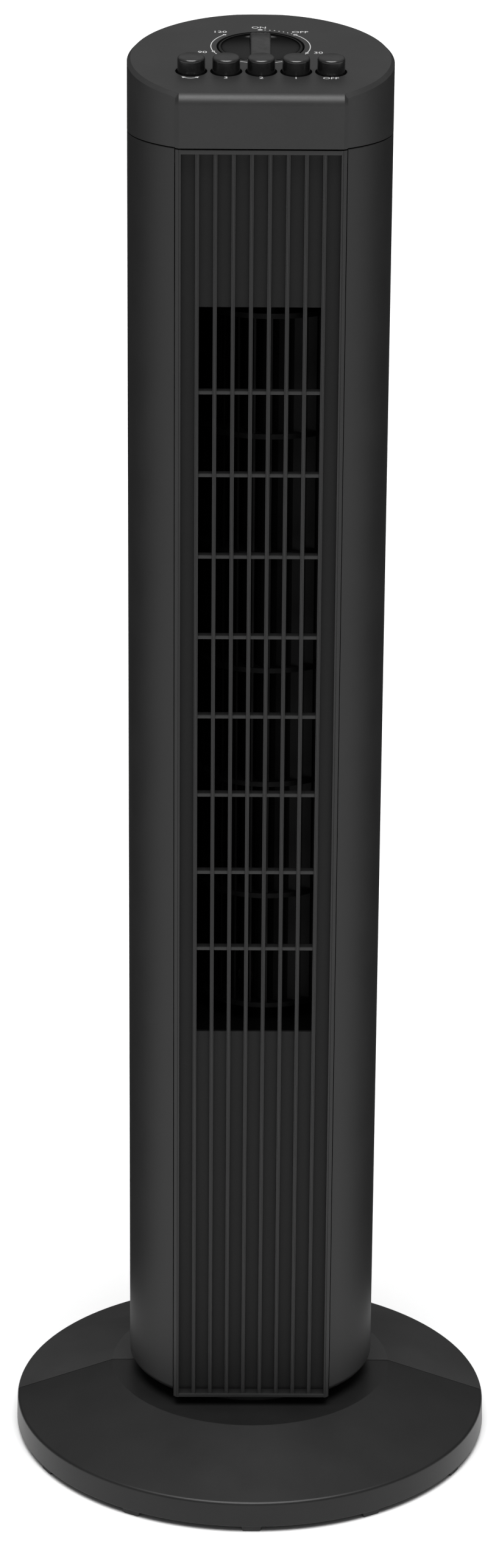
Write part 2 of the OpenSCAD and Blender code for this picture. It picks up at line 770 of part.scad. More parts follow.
module motor_shield(up) {
    h = shield_h;
    difference() {
        union() {
            tube(motor_r, motor_r - shield_t, h);
            translate([0, 0, up ? h - shield_t : 0]) cylinder(r = motor_r - 0.5, h = shield_t);
            translate([0, 0, up ? h - 8 : -1.5]) cylinder(r = bearing_r + 2, h = 9.5);
        }
        translate([0, 0, -5]) cylinder(r = bearing_r, h = h + 10);
        for (a = [45:90:315]) rotate(a) translate([motor_screw_r, 0, -1])
            cylinder(r = screw_r + screw_slack, h = h + 2, $fn = 32);
    }
}

module motor_upper_shield() color(STEEL) at_rotor(stack_top) motor_shield(true);
module motor_lower_shield() color(STEEL) at_rotor(motor_bottom) motor_shield(false);

module motor_bearings() color(BRONZE) {
    at_rotor(motor_top - bearing_h) tube(bearing_r, shaft_r + run, bearing_h);
    at_rotor(motor_bottom) tube(bearing_r, shaft_r + run, bearing_h);
}

module stator_slot(w, r0, r1, h)
    for (i = [0:stator_slots - 1]) rotate((i + 0.5) * 360 / stator_slots)
        translate([r0, -w / 2, 0]) cube([r1 - r0, w, h]);

module motor_stator() color([0.45, 0.46, 0.48]) at_rotor(stack_z) difference() {
    cylinder(r = motor_r, h = stack_h);
    translate([0, 0, -1]) cylinder(r = core_r, h = stack_h + 2);
    translate([0, 0, -1]) stator_slot(stator_slot_w, slot_in, slot_out, stack_h + 2);
    for (a = [45:90:315]) rotate(a) translate([motor_screw_r, 0, -1])
        cylinder(r = screw_r + screw_slack, h = stack_h + 2, $fn = 32);
}

module motor_windings() color(COPPER) at_rotor(stack_z) {
    stator_slot(stator_slot_w - 2 * gap, slot_in + gap, slot_out - gap, stack_h);
    for (z = [-winding_h, stack_h]) translate([0, 0, z]) tube(slot_out + 0.2, slot_in - 0.6, winding_h);
}

module motor_screws() color(STEEL)
    for (a = [45:90:315]) at_rotor(motor_bottom) rotate(a) translate([motor_screw_r, 0, 0])
        mirror([0, 0, 1]) screw_down(motor_top - motor_bottom + 8);

module motor_rotor() color([0.55, 0.56, 0.58]) at_rotor(stack_z - 3) difference() {
    union() {
        translate([0, 0, 3]) cylinder(r = core_r - air_gap, h = stack_h);
        cylinder(r = core_r - 4, h = stack_h + 6);
    }
    translate([0, 0, -1]) cylinder(r = shaft_r, h = stack_h + 8);
}

module motor_shaft() color(STEEL) at_rotor(motor_bottom - 3)
    cylinder(r = shaft_r, h = rotor_z0 + 14 - motor_bottom + 3);

// ---- oscillation drive ----

module oscillation_bracket() color(STEEL) difference() {
    intersection() {
        translate([0, 0, bracket_z]) cylinder(r = bracket_r, h = bracket_t);
        translate([-big, -front_y, 0]) cube([2 * big, big, seam_z]);
    }
    translate([0, 0, bracket_z - 1]) cylinder(r = 12, h = bracket_t + 2);
    translate([0, crank_y, bracket_z - 1]) cylinder(r = crank_bore_r + 3, h = bracket_t + 2);
    for (p = bracket_posts) translate([p[0], p[1], bracket_z - 1])
        cylinder(r = screw_r + screw_slack, h = bracket_t + 2, $fn = 32);
    for (x = [-osc_ear_x, osc_ear_x]) translate([x, crank_y, bracket_z - 1])
        cylinder(r = screw_r, h = bracket_t + 2, $fn = 32);
}

module bracket_screws() color(STEEL)
    for (p = bracket_posts) translate([p[0], p[1], bracket_z + bracket_t]) screw_down(12);

module oscillation_motor() color(STEEL) translate([0, crank_y, osc_motor_z]) difference() {
    union() {
        cylinder(r = osc_motor_r, h = osc_motor_h);
        for (s = [-1, 1]) {
            translate([s > 0 ? osc_motor_r - 3 : -osc_ear_x, -4.5, 0]) cube([osc_ear_x - osc_motor_r + 3, 9, 1.5]);
            translate([s * osc_ear_x, 0, 0]) cylinder(r = 4.5, h = 1.5, $fn = 32);
        }
        translate([-8, osc_motor_r - 3, osc_motor_h - 10]) cube([16, 6, 8]);
    }
    translate([0, 0, -1]) cylinder(r = crank_bore_r + run, h = 9, $fn = 48);
    for (x = [-osc_ear_x, osc_ear_x]) translate([x, 0, -1]) cylinder(r = screw_r + screw_slack, h = 4, $fn = 32);
}

module oscillation_motor_screws() color(STEEL)
    for (x = [-osc_ear_x, osc_ear_x]) translate([x, crank_y, osc_motor_z + 1.5]) screw_down(4.5);

module crank_shaft() color(STEEL)
    translate([0, crank_y, crank_z]) cylinder(r = crank_bore_r, h = osc_motor_z + 7 - crank_z, $fn = 48);

module crank_arm() color(BLACK) translate([0, crank_y, crank_z]) difference() {
    linear_extrude(crank_t) {
        circle(r = crank_w / 2 + 1.5);
        translate([-crank_w / 2, 0]) square([crank_w, crank_r]);
        translate([0, crank_r]) circle(r = crank_w / 2);
    }
    translate([0, 0, -1]) cylinder(r = crank_bore_r, h = crank_t + 2, $fn = 48);
    translate([0, crank_r, -1]) cylinder(r = crank_pin_r, h = crank_t + 2, $fn = 48);
}

module crank_pin() color(STEEL)
    translate([0, crank_y + crank_r, yoke_z + gap])
        cylinder(r = crank_pin_r, h = crank_z + crank_t - yoke_z - gap, $fn = 48);

module capacitor() color(WHITE) translate([-19, -front_y + 1, osc_motor_z]) {
    cube([38, 17, 28]);
    translate([9, 5, 27.9]) cube([6, 0.8, 6]);
    translate([23, 5, 27.9]) cube([6, 0.8, 6]);
}

// Bundle of wires from the base, past the duct, to the switches
wire_route = [
    [0, 0, barrel_foot_z + 8],
    [0, 0, osc_motor_z + 34],
    [wire_place[0], wire_place[1], osc_motor_z + 72],
    [wire_place[0], wire_place[1], seam_z - 14]];

module wiring() color(RUBBER)
    for (i = [0:len(wire_route) - 2]) {
        a = wire_route[i];
        d = wire_route[i + 1] - a;
        translate(a) rotate([0, acos(d[2] / norm(d)), atan2(d[1], d[0])]) cylinder(r = wire_r, h = norm(d), $fn = 32);
        if (i > 0) translate(a) sphere(r = wire_r + 0.4, $fn = 32);
    }

// ---- cap and controls ----

module under_top(depth) on_top() translate([-big, -big, -depth - 2 * big]) cube([2 * big, 2 * big, 2 * big]);

// Wedge that rounds the edge between the top and the front panel
module brow_cutter() {
    yc = -panel_y + brow_r;
    zc = top_z + yc * tan(cap_slope) - brow_r / cos(cap_slope);
    rotate([90, 0, 90]) translate([0, 0, -panel_half - 1]) linear_extrude(panel_w + 2) difference() {
        polygon([[-panel_y - 1, zc], [yc, zc], [yc - brow_r * sin(cap_slope), zc + brow_r * cos(cap_slope)],
            [yc - brow_r * sin(cap_slope), zc + brow_r + 4], [-panel_y - 1, zc + brow_r + 4]]);
        translate([yc, zc]) circle(r = brow_r);
    }
}

// Outer form of the cap
module cap_form() {
    chord_y = panel_y - panel_proud;
    intersection() {
        translate([0, 0, seam_z]) difference() {
            cylinder(r = body_r, h = 2 * cap_h);
            translate([-slot_half, -big - chord_y + 1, -1]) cube([2 * slot_half, big, 3 * cap_h]);
        }
        under_top(0);
        on_top() translate([0, 0, -3 * cap_h])
            cylinder(r1 = body_r - cap_chamfer + 3 * cap_h, r2 = body_r - cap_chamfer, h = 3 * cap_h, $fn = 180);
    }
    difference() {
        intersection() {
            translate([-panel_half, -panel_y, seam_z]) cube([panel_w, panel_y / 2, 2 * cap_h]);
            under_top(0);
        }
        brow_cutter();
    }
}

module cap_hollow() {
    intersection() {
        union() {
            difference() {
                translate([0, 0, seam_z - 1]) cylinder(r = inner_r, h = 2 * cap_h);
                translate([-big, -big - panel_y + panel_proud + shell_t, 0]) cube([2 * big, big, 3 * seam_z]);
            }
            translate([-panel_half + shell_t, -panel_y + shell_t, seam_z - 1])
                cube([panel_w - 2 * shell_t, panel_y, 2 * cap_h]);
        }
        under_top(cap_t);
    }
}

module top_cap() color(GRAPHITE) difference() {
    union() {
        difference() {
            cap_form();
            cap_hollow();
        }
        // skirt that drops inside the shells
        intersection() {
            translate([0, 0, seam_z - skirt_h]) union() {
                tube(inner_r - gap, inner_r - 2.3, skirt_h + 3);
                translate([0, 0, skirt_h]) tube(inner_r + 0.5, inner_r - 2.3, 3);
            }
            translate([-big, -front_y, 0]) cube([2 * big, big, 2 * seam_z]);
        }
        on_top() {
            translate([0, knob_y, -well_depth - 2]) cylinder(r = well_r + 2, h = well_depth + 1.5);
            for (x = [-1, 1]) {
                translate([x * timer_ear_x, knob_y, timer_top]) cylinder(r = ear_post_r, h = -timer_top - 1, $fn = 32);
                translate([x * (block_half + ear_l / 2), button_y, block_top - 2])
                    cylinder(r = ear_post_r, h = 1 - block_top, $fn = 32);
            }
        }
    }
    on_top() {
        translate([0, knob_y, -well_depth]) cylinder(r = well_r, h = well_depth + 5);
        translate([0, knob_y, -well_depth - 5]) cylinder(r = timer_shaft_r + 1.2, h = 10);
        for (i = [-2:2]) translate([i * button_pitch, button_y, -cap_t - 2]) cylinder(r = hole_r, h = cap_t + 10);
        for (x = [-1, 1]) {
            translate([x * timer_ear_x, knob_y, timer_top - 1]) cylinder(r = screw_r, h = 7, $fn = 32);
            translate([x * (block_half + ear_l / 2), button_y, block_top - 3]) cylinder(r = screw_r, h = 9, $fn = 32);
        }
    }
}

// Row of push switches under the buttons
module switch_block() color(WHITE) on_top() difference() {
    union() {
        translate([-block_half, button_y - block_d / 2, block_top - block_h]) cube([2 * block_half, block_d, block_h]);
        translate([-block_half - ear_l, button_y - 5, block_top - 2 - ear_t]) cube([2 * (block_half + ear_l), 10, ear_t]);
    }
    for (i = [-2:2]) translate([i * button_pitch, button_y, stem_end - button_travel - 1])
        cylinder(r = stem_r + run, h = block_h, $fn = 48);
    for (x = [-1, 1]) translate([x * (block_half + ear_l / 2), button_y, block_top - block_h])
        cylinder(r = screw_r + screw_slack, h = block_h + 2, $fn = 32);
}

module switch_screws() color(STEEL) on_top()
    for (x = [-1, 1]) translate([x * (block_half + ear_l / 2), button_y, block_top - 2 - ear_t])
        mirror([0, 0, 1]) screw_down(ear_t + 6);

module timer_body() color(STEEL) on_top() difference() {
    union() {
        translate([0, knob_y, timer_top - timer_h]) cylinder(r = timer_r, h = timer_h);
        translate([0, knob_y, timer_top - 1]) cylinder(r = 7, h = -well_depth - 2 - timer_top + 1);
        translate([-timer_ear_x - 4, knob_y - 4, timer_top - 2]) cube([2 * timer_ear_x + 8, 8, 2]);
    }
    translate([0, knob_y, timer_top - 16]) cylinder(r = timer_shaft_r + run, h = 30, $fn = 48);
    for (x = [-1, 1]) translate([x * timer_ear_x, knob_y, timer_top - 5])
        cylinder(r = screw_r + screw_slack, h = 8, $fn = 32);
}

module timer_screws() color(STEEL) on_top()
    for (x = [-1, 1]) translate([x * timer_ear_x, knob_y, timer_top - 2]) mirror([0, 0, 1]) screw_down(6);

// Knob: a shallow bowl with a crowned grip bar across it
module timer_knob() color(GLOSS) on_top() translate([0, knob_y, 0]) {
    r = knob_d / 2;
    floor_n = -well_depth + 0.6;
    bowl = 3.2;
    crown_r = (r * r + grip_h * grip_h) / (2 * grip_h);
    difference() {
        union() {
            rotate_extrude() polygon(concat(
                [[0, floor_n], [r, floor_n], [r, -0.6]], arc([r - 0.6, -0.6], 0.6, 0, 90, 3),
                [for (a = [0:15:90]) [r - 1.4 - 7 * sin(a), -bowl * (1 - cos(a))]],
                [[0, -bowl]]));
            intersection() {
                translate([-grip_w / 2, -r, floor_n]) cube([grip_w, 2 * r, grip_h - floor_n]);
                translate([0, 0, floor_n]) cylinder(r = r - 0.3, h = 20);
                translate([-grip_w, 0, grip_h - crown_r]) rotate([0, 90, 0])
                    cylinder(r = crown_r, h = 2 * grip_w, $fn = 180);
            }
        }
        translate([0, 0, floor_n - 1]) cylinder(r = timer_shaft_r, h = 4.5, $fn = 48);
    }
}

module timer_shaft() color(STEEL) on_top() translate([0, knob_y, timer_top - 14])
    cylinder(r = timer_shaft_r, h = 14 - timer_top - well_depth + 0.6 + 3.4, $fn = 48);

module button(i) color(GLOSS) on_top() translate([i * button_pitch, button_y, 0]) {
    rotate_extrude($fn = 64) polygon(concat(
        [[0, flange_top - flange_t], [flange_r, flange_top - flange_t], [flange_r, flange_top], [button_r, flange_top]],
        arc([button_r - 1.4, button_h - 2.2], 1.4, 0, 70, 4),
        [[button_r * 0.5, button_h - 0.3], [0, button_h]]));
    translate([0, 0, stem_end]) cylinder(r = stem_r, h = flange_top - flange_t - stem_end + 0.1, $fn = 48);
}

module button_oscillate() button(-2);
module button_high() button(-1);
module button_medium() button(0);
module button_low() button(1);
module button_off() button(2);

// Return spring: a wire swept along a helix between the switch block and a button
module spring(i) {
    steps = 12;
    sides = 6;
    rings = spring_turns * steps;
    low = block_top + spring_wire_r + 0.05;
    high = flange_top - flange_t - spring_wire_r - 0.05;
    points = [for (k = [0:rings], j = [0:sides - 1])
        let (a = k * 360 / steps, b = j * 360 / sides, r = spring_r + spring_wire_r * cos(b))
        [r * cos(a), r * sin(a), low + (high - low) * k / rings + spring_wire_r * sin(b)]];
    faces = concat(
        [[for (j = [0:sides - 1]) j]],
        [for (k = [0:rings - 1], j = [0:sides - 1])
            [k * sides + j, (k + 1) * sides + j, (k + 1) * sides + (j + 1) % sides, k * sides + (j + 1) % sides]],
        [[for (j = [sides - 1:-1:0]) rings * sides + j]]);
    color(STEEL) on_top() translate([i * button_pitch, button_y, 0]) polyhedron(points, faces, convexity = 8);
}

module spring_oscillate() spring(-2);
module spring_high() spring(-1);
module spring_medium() spring(0);
module spring_low() spring(1);
module spring_off() spring(2);

base_front();
base_rear();
base_feet();
base_screws();
pivot_column();
neck_nut();
thrust_washer();
retaining_ring();
yoke_arm();
yoke_screws();
cord_gland();
front_shell();
rear_shell();
front_grille();
body_floor();
shell_screws();
duct_floor();
duct_ceiling();
air_guide();
cutoff_tongue();
top_bearing();
bearing_mount();
motor_upper_shield();
motor_lower_shield();
motor_stator();
motor_windings();
motor_bearings();
motor_screws();
oscillation_bracket();
bracket_screws();
oscillation_motor();
oscillation_motor_screws();
capacitor();
wiring();
top_cap();
switch_block();
switch_screws();
timer_body();
timer_screws();
impeller();
impeller_hub();
hub_screw();
stub_shaft();
motor_rotor();
motor_shaft();
crank_arm();
crank_pin();
crank_shaft();
timer_knob();
timer_shaft();
button_oscillate();
button_high();
button_medium();
button_low();
button_off();
spring_oscillate();
spring_high();
spring_medium();
spring_low();
spring_off();
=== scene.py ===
"""Tower fan: finished shapes and finishes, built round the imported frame.

Shapes are modelled in millimetres in the row frame (+Z up, the grille faces -Y) and turned
into metres when a piece is finished.
"""

import json
import logging
import math
from dataclasses import dataclass, field, replace
from enum import Enum
from typing import Callable, Sequence

import bmesh
import bpy
from mathutils import Matrix, Vector


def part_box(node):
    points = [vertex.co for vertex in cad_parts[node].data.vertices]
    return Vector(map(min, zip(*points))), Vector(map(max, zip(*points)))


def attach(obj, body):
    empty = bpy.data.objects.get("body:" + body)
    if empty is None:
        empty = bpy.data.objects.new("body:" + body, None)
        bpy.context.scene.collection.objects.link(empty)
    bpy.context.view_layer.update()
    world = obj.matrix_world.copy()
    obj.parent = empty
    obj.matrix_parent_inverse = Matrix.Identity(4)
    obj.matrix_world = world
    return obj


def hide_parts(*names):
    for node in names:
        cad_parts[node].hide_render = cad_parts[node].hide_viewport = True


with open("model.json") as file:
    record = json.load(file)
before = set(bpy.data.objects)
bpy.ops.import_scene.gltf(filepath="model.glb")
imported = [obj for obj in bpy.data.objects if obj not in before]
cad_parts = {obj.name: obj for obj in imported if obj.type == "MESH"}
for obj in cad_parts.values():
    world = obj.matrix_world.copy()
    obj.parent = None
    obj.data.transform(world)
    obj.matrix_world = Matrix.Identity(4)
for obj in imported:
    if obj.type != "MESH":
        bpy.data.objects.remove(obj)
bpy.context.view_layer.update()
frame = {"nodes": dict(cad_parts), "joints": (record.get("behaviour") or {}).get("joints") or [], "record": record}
LOG = logging.getLogger("tower_fan")
MM = 0.001  # a millimetre in metres
NEAR = 1e-3  # millimetres within which two places count as one
MERGE = 1e-4  # millimetres within which the ends of a turned shape are joined
FOLDED = 1.0  # radians from which a fold counts as a corner

Point = tuple[float, float]
Corner = tuple[float, float, float]
Colour = tuple[float, float, float]

MIRROR = Matrix.Diagonal((-1, 1, 1, 1))  # right side to left side
TIP_BACK = Matrix.Rotation(math.pi / 2, 4, "X")  # +Y goes up


class Slot(Enum):
    """Material slots of the record."""

    BASE = "base_plastic"
    COLLAR = "collar_plastic"
    SHELL = "shell_plastic"
    GRILLE = "grille_plastic"
    INNER = "inner_plastic"
    RUBBER = "rubber"
    SCREW = "screw_steel"
    ACETAL = "acetal"
    ZINC = "zinc_steel"
    BRONZE = "bronze"
    LAMINATION = "lamination"
    COPPER = "copper"
    SHAFT = "shaft_steel"
    WHITE = "white_plastic"
    JACKET = "wire_jacket"
    GLOSS = "gloss_black"
    SPRING = "spring_steel"


# ---- node graphs ----


class Field:
    """One output of a node graph, with arithmetic that adds Math nodes."""

    def __init__(self, tree: bpy.types.NodeTree, socket: bpy.types.NodeSocket) -> None:
        """Wraps a socket of a tree."""
        self.tree = tree
        self.socket = socket

    def _math(self, operation: str, first: "Field | float", second: "Field | float") -> "Field":
        """Adds one Math node.

        Args:
            operation: the Math node's operation.
            first: the left value.
            second: the right value.

        Returns:
            The node's result.
        """
        node = self.tree.nodes.new("ShaderNodeMath")
        node.operation = operation
        for place, value in zip(node.inputs, (first, second)):
            link(self.tree, place, value)
        return Field(self.tree, node.outputs[0])

    def __add__(self, other: "Field | float") -> "Field":
        """Sum."""
        return self._math("ADD", self, other)

    __radd__ = __add__

    def __sub__(self, other: "Field | float") -> "Field":
        """Difference."""
        return self._math("SUBTRACT", self, other)

    def __rsub__(self, other: "Field | float") -> "Field":
        """Difference with the sides swapped."""
        return self._math("SUBTRACT", other, self)

    def __mul__(self, other: "Field | float") -> "Field":
        """Product."""
        return self._math("MULTIPLY", self, other)

    __rmul__ = __mul__

    def __gt__(self, other: "Field | float") -> "Field":
        """1 where this is the larger, else 0."""
        return self._math("GREATER_THAN", self, other)

    def sine(self) -> "Field":
        """Sine of the value in radians."""
        return self._math("SINE", self, 0.0)


def link(tree: bpy.types.NodeTree, place: bpy.types.NodeSocket, value: object) -> None:
    """Links a field to a socket, or sets the socket's own value.

    Args:
        tree: the tree that holds both ends.
        place: the input.
        value: a field to link, or a plain value to set.
    """
    if isinstance(value, Field):
        tree.links.new(value.socket, place)
    else:
        place.default_value = value


class Graph:
    """A node graph, whose patterns run on one kind of coordinates."""

    def __init__(self, owner: bpy.types.Material | bpy.types.World, place: str) -> None:
        """Starts an empty graph.

        Args:
            owner: the material or world that holds it.
            place: the coordinates its patterns run on.
        """
        owner.use_nodes = True
        self.owner = owner
        self.tree = owner.node_tree
        self.tree.nodes.clear()
        self.place = self.node("ShaderNodeTexCoord", output=place)

    @classmethod
    def finish(cls, name: str) -> "Graph":
        """Starts the graph of a material of this name."""
        return cls(bpy.data.materials.new(name), "Object")

    def node(self, kind: str, settings: dict[str, object] | None = None,
             values: dict[str, object] | None = None, output: str | int = 0) -> Field:
        """Adds any node.

        Args:
            kind: the node's type.
            settings: attributes to set first; "stops" fills a colour ramp.
            values: a value or a field for each named input.
            output: name or number of the output that is wanted.

        Returns:
            That output.
        """
        node = self.tree.nodes.new(kind)
        for key, setting in (settings or {}).items():
            if key == "stops":
                ramp = node.color_ramp
                while len(ramp.elements) < len(setting):
                    ramp.elements.new(0.5)
                for element, (position, shade) in zip(ramp.elements, setting):
                    element.position = position
                    element.color = (*shade, 1.0)
            else:
                setattr(node, key, setting)
        for key, value in (values or {}).items():
            link(self.tree, node.inputs[key], value)
        return Field(self.tree, node.outputs[output]) if node.outputs else None

    def stretched(self, scale: Sequence[float]) -> Field:
        """Object coordinates stretched by a scale along each axis."""
        return self.node("ShaderNodeMapping", values={"Vector": self.place, "Scale": scale})

    def noise(self, size_mm: float, detail: float = 2.0, place: Field | None = None) -> Field:
        """Noise from 0 to 1 with lumps of about the given size."""
        return self.node("ShaderNodeTexNoise", values={
            "Vector": place or self.place, "Scale": 1000.0 / size_mm, "Detail": detail}, output="Fac")

    def specks(self, spacing_mm: float, radius_mm: float, keep: float) -> Field:
        """Sparse round specks: 1 inside a speck, else 0.

        Args:
            spacing_mm: size of the cells that may hold a speck.
            radius_mm: radius of a speck.
            keep: share of the cells that do hold one.

        Returns:
            The mask.
        """
        cell = {"Vector": self.place, "Scale": 1000.0 / spacing_mm}
        near = 1.0 - (self.node("ShaderNodeTexVoronoi", values=cell, output="Distance")
                      > radius_mm / spacing_mm)
        chance = self.node("ShaderNodeTexVoronoi", values=cell, output="Color")
        split = self.node("ShaderNodeSeparateColor", values={"Color": chance}, output="Red")
        return near * (1.0 - (split > keep))

    def shades(self, value: Field, stops: Sequence[tuple[float, Sequence[float]]]) -> Field:
        """Colours a value by a ramp of (position, colour) stops."""
        return self.node("ShaderNodeValToRGB", {"stops": stops}, {"Fac": value})

    def blend(self, factor: Field, first: object, second: object) -> Field:
        """Mixes two colours, each a field or an RGB triple.

        Args:
            factor: share of the second colour.
            first: colour at 0.
            second: colour at 1.

        Returns:
            The mixed colour.
        """
        node = self.tree.nodes.new("ShaderNodeMix")
        node.data_type = "RGBA"
        for place, value in zip((node.inputs[0], node.inputs[6], node.inputs[7]), (factor, first, second)):
            link(self.tree, place, value if isinstance(value, Field) else (*value, 1.0))
        return Field(self.tree, node.outputs[2])

    def bump(self, height: Field, depth_mm: float, strength: float = 1.0) -> Field:
        """Normal of a surface with that height of relief."""
        return self.node("ShaderNodeBump", values={
            "Height": height, "Distance": depth_mm * MM, "Strength": strength})

    def surface(self, values: dict[str, object]) -> bpy.types.Material:
        """Ends the graph in a Principled surface.

        Args:
            values: a value or a field for each named input.

        Returns:
            The finished material.
        """
        shader = self.node("ShaderNodeBsdfPrincipled", values=values)
        self.node("ShaderNodeOutputMaterial", values={"Surface": shader})
        return self.owner

    def ease(self, value: Field, start: float, end: float, top: float = 1.0) -> Field:
        """Rises smoothly from 0 to the top value as a value goes from start to end."""
        return self.node("ShaderNodeMapRange", {"interpolation_type": "SMOOTHSTEP"}, {
            "Value": value, "From Min": start, "From Max": end, "To Max": top}, output="Result")


def grey(tone: float) -> Colour:
    """A neutral colour of that linear tone."""
    return (tone, tone, tone)


# ---- finishes ----


@dataclass(frozen=True)
class MouldedPlastic:
    """Black plastic from a spark-eroded mould: fine grain, soft clouding and a little dust."""

    name: str
    tone: float
    roughness: float = 0.46
    specular: float = 0.42
    grain_mm: float = 0.55
    grain_depth_mm: float = 0.018
    cloud_mm: float = 26.0
    cloud: float = 0.16
    dust: float = 0.05
    drag_lines: float = 0.0

    def make(self) -> bpy.types.Material:
        """Builds the material.

        Returns:
            The material.
        """
        graph = Graph.finish(self.name)
        grain = graph.noise(self.grain_mm, 3.0)
        cloud = graph.noise(self.cloud_mm, 4.0)
        fleck = graph.noise(self.grain_mm * 2.4, 1.0)
        low, high = self.tone * (1 - self.cloud), self.tone * (1 + self.cloud)
        body = graph.shades(cloud * 0.7 + fleck * 0.3, ((0.32, grey(low)), (0.68, grey(high))))
        dust = graph.specks(9.0, 0.16, self.dust)
        colour = graph.blend(dust * 0.5, body, grey(0.16))
        rough = self.roughness - 0.05 + cloud * 0.06 + grain * 0.05
        height = grain
        if self.drag_lines > 0:
            drawn = graph.noise(0.9, 2.0, graph.stretched((1.0, 1.0, 0.06)))
            height = grain + drawn * self.drag_lines
            rough = rough + drawn * 0.05
        return graph.surface({"Base Color": colour, "Roughness": rough,
                              "Specular IOR Level": self.specular,
                              "Normal": graph.bump(height, self.grain_depth_mm)})


@dataclass(frozen=True)
class PolishedPlastic:
    """Glossy black plastic with faint polishing swirls and orange peel."""

    name: str
    tone: float = 0.003
    roughness: float = 0.17
    specular: float = 0.4

    def make(self) -> bpy.types.Material:
        """Builds the material.

        Returns:
            The material.
        """
        graph = Graph.finish(self.name)
        swirl = graph.noise(3.5, 4.0)
        peel = graph.noise(1.6, 1.0)
        scratch = graph.noise(0.35, 2.0, graph.stretched((0.12, 1.0, 1.0)))
        colour = graph.shades(swirl, ((0.35, grey(self.tone)), (0.7, grey(self.tone * 1.8))))
        rough = self.roughness - 0.03 + swirl * 0.08 + scratch * 0.03
        return graph.surface({"Base Color": colour, "Roughness": rough, "Specular IOR Level": self.specular,
                              "Normal": graph.bump(peel, 0.004, 0.6)})


@dataclass(frozen=True)
class Mottled:
    """A slow mottling between two colours over a fine grain.

    The band says where the mottling goes from dark to light. Cloud and grain are each a lump size
    in millimetres and a detail. Rough is the roughness with what the cloud and the grain add.
    """

    name: str
    dark: Colour
    light: Colour
    band: Point
    cloud: Point
    grain: Point
    rough: Corner
    relief_mm: float
    stretch: Corner = (1.0, 1.0, 1.0)
    metallic: float = 0.0
    specular: float = 0.5

    def make(self) -> bpy.types.Material:
        """Builds the material.

        Returns:
            The material.
        """
        graph = Graph.finish(self.name)
        cloud = graph.noise(*self.cloud)
        grain = graph.noise(*self.grain, graph.stretched(self.stretch))
        rough = self.rough[0]
        for share, pattern in zip(self.rough[1:], (cloud, grain)):
            if share > 0:
                rough = pattern * share + rough
        return graph.surface({
            "Base Color": graph.shades(cloud, tuple(zip(self.band, (self.dark, self.light)))),
            "Roughness": rough, "Metallic": self.metallic, "Specular IOR Level": self.specular,
            "Normal": graph.bump(grain, self.relief_mm)})


@dataclass(frozen=True)
class Laminations:
    """Varnished stack of thin plates, seen as fine level lines."""

    name: str
    sheet_mm: float = 0.5

    def make(self) -> bpy.types.Material:
        """Builds the material.

        Returns:
            The material.
        """
        graph = Graph.finish(self.name)
        up = graph.node("ShaderNodeSeparateXYZ", values={"Vector": graph.place}, output="Z")
        sheets = (up * (2 * math.pi / (self.sheet_mm * MM))).sine() * 0.5 + 0.5
        varnish = graph.noise(4.0, 4.0)
        tone = graph.shades(sheets * 0.5 + varnish * 0.5,
                            ((0.25, (0.13, 0.125, 0.12)), (0.8, (0.3, 0.3, 0.31))))
        return graph.surface({"Base Color": tone, "Metallic": 0.75, "Roughness": 0.38 + varnish * 0.2,
                              "Normal": graph.bump(sheets, 0.06)})


@dataclass(frozen=True)
class WoundWire:
    """Enamelled copper wire laid in close turns."""

    name: str
    wire_mm: float = 0.45

    def make(self) -> bpy.types.Material:
        """Builds the material.

        Returns:
            The material.
        """
        graph = Graph.finish(self.name)
        turns = graph.noise(self.wire_mm, 1.0, graph.stretched((0.25, 0.25, 2.2)))
        lacquer = graph.noise(6.0, 3.0)
        tone = graph.shades(turns * 0.6 + lacquer * 0.4,
                            ((0.3, (0.32, 0.1, 0.035)), (0.7, (0.66, 0.28, 0.1))))
        return graph.surface({"Base Color": tone, "Metallic": 0.85, "Roughness": 0.24 + lacquer * 0.14,
                              "Coat Weight": 0.5, "Normal": graph.bump(turns, 0.12)})


@dataclass(frozen=True)
class PaintedFloor:
    """Pale seamless studio floor with the faintest mottling."""

    name: str
    tone: float = 0.86

    def make(self) -> bpy.types.Material:
        """Builds the material.

        Returns:
            The material.
        """
        graph = Graph.finish(self.name)
        mottle = graph.noise(240.0, 3.0)
        colour = graph.shades(mottle, ((0.3, grey(self.tone * 0.985)), (0.7, grey(self.tone))))
        return graph.surface({"Base Color": colour, "Roughness": 0.85, "Specular IOR Level": 0.1})


SILVER_PRINT = Mottled("silver_print", dark=grey(0.4056), light=grey(0.52), band=(0.25, 0.6),
                       cloud=(0.4, 3.0), grain=(0.4, 3.0), rough=(0.42, 0.15, 0.0), relief_mm=0.01)
BLACK_RUBBER = Mottled("black_rubber", dark=grey(0.022), light=grey(0.0374), band=(0.3, 0.75),
                       cloud=(5.0, 5.0), grain=(0.3, 2.0), rough=(0.68, 0.2, 0.0), relief_mm=0.03,
                       specular=0.35)
PLATED_SHEET = Mottled("plated_sheet", dark=(0.5, 0.53, 0.57), light=(0.62, 0.6, 0.54), band=(0.3, 0.72),
                       cloud=(9.0, 5.0), grain=(1.1, 2.0), rough=(0.3, 0.16, 0.06), relief_mm=0.008,
                       metallic=1.0)
GROUND_STEEL = Mottled("ground_steel", dark=grey(0.51), light=grey(0.6), band=(0.3, 0.7), cloud=(7.0, 3.0),
                       grain=(0.5, 3.0), rough=(0.16, 0.05, 0.14), relief_mm=0.006,
                       stretch=(0.15, 0.15, 1.6), metallic=1.0)
BRONZE = Mottled("sintered_bronze", dark=(0.3, 0.19, 0.08), light=(0.52, 0.36, 0.17), band=(0.3, 0.7),
                 cloud=(5.0, 3.0), grain=(0.25, 3.0), rough=(0.32, 0.0, 0.2), relief_mm=0.02, metallic=1.0)
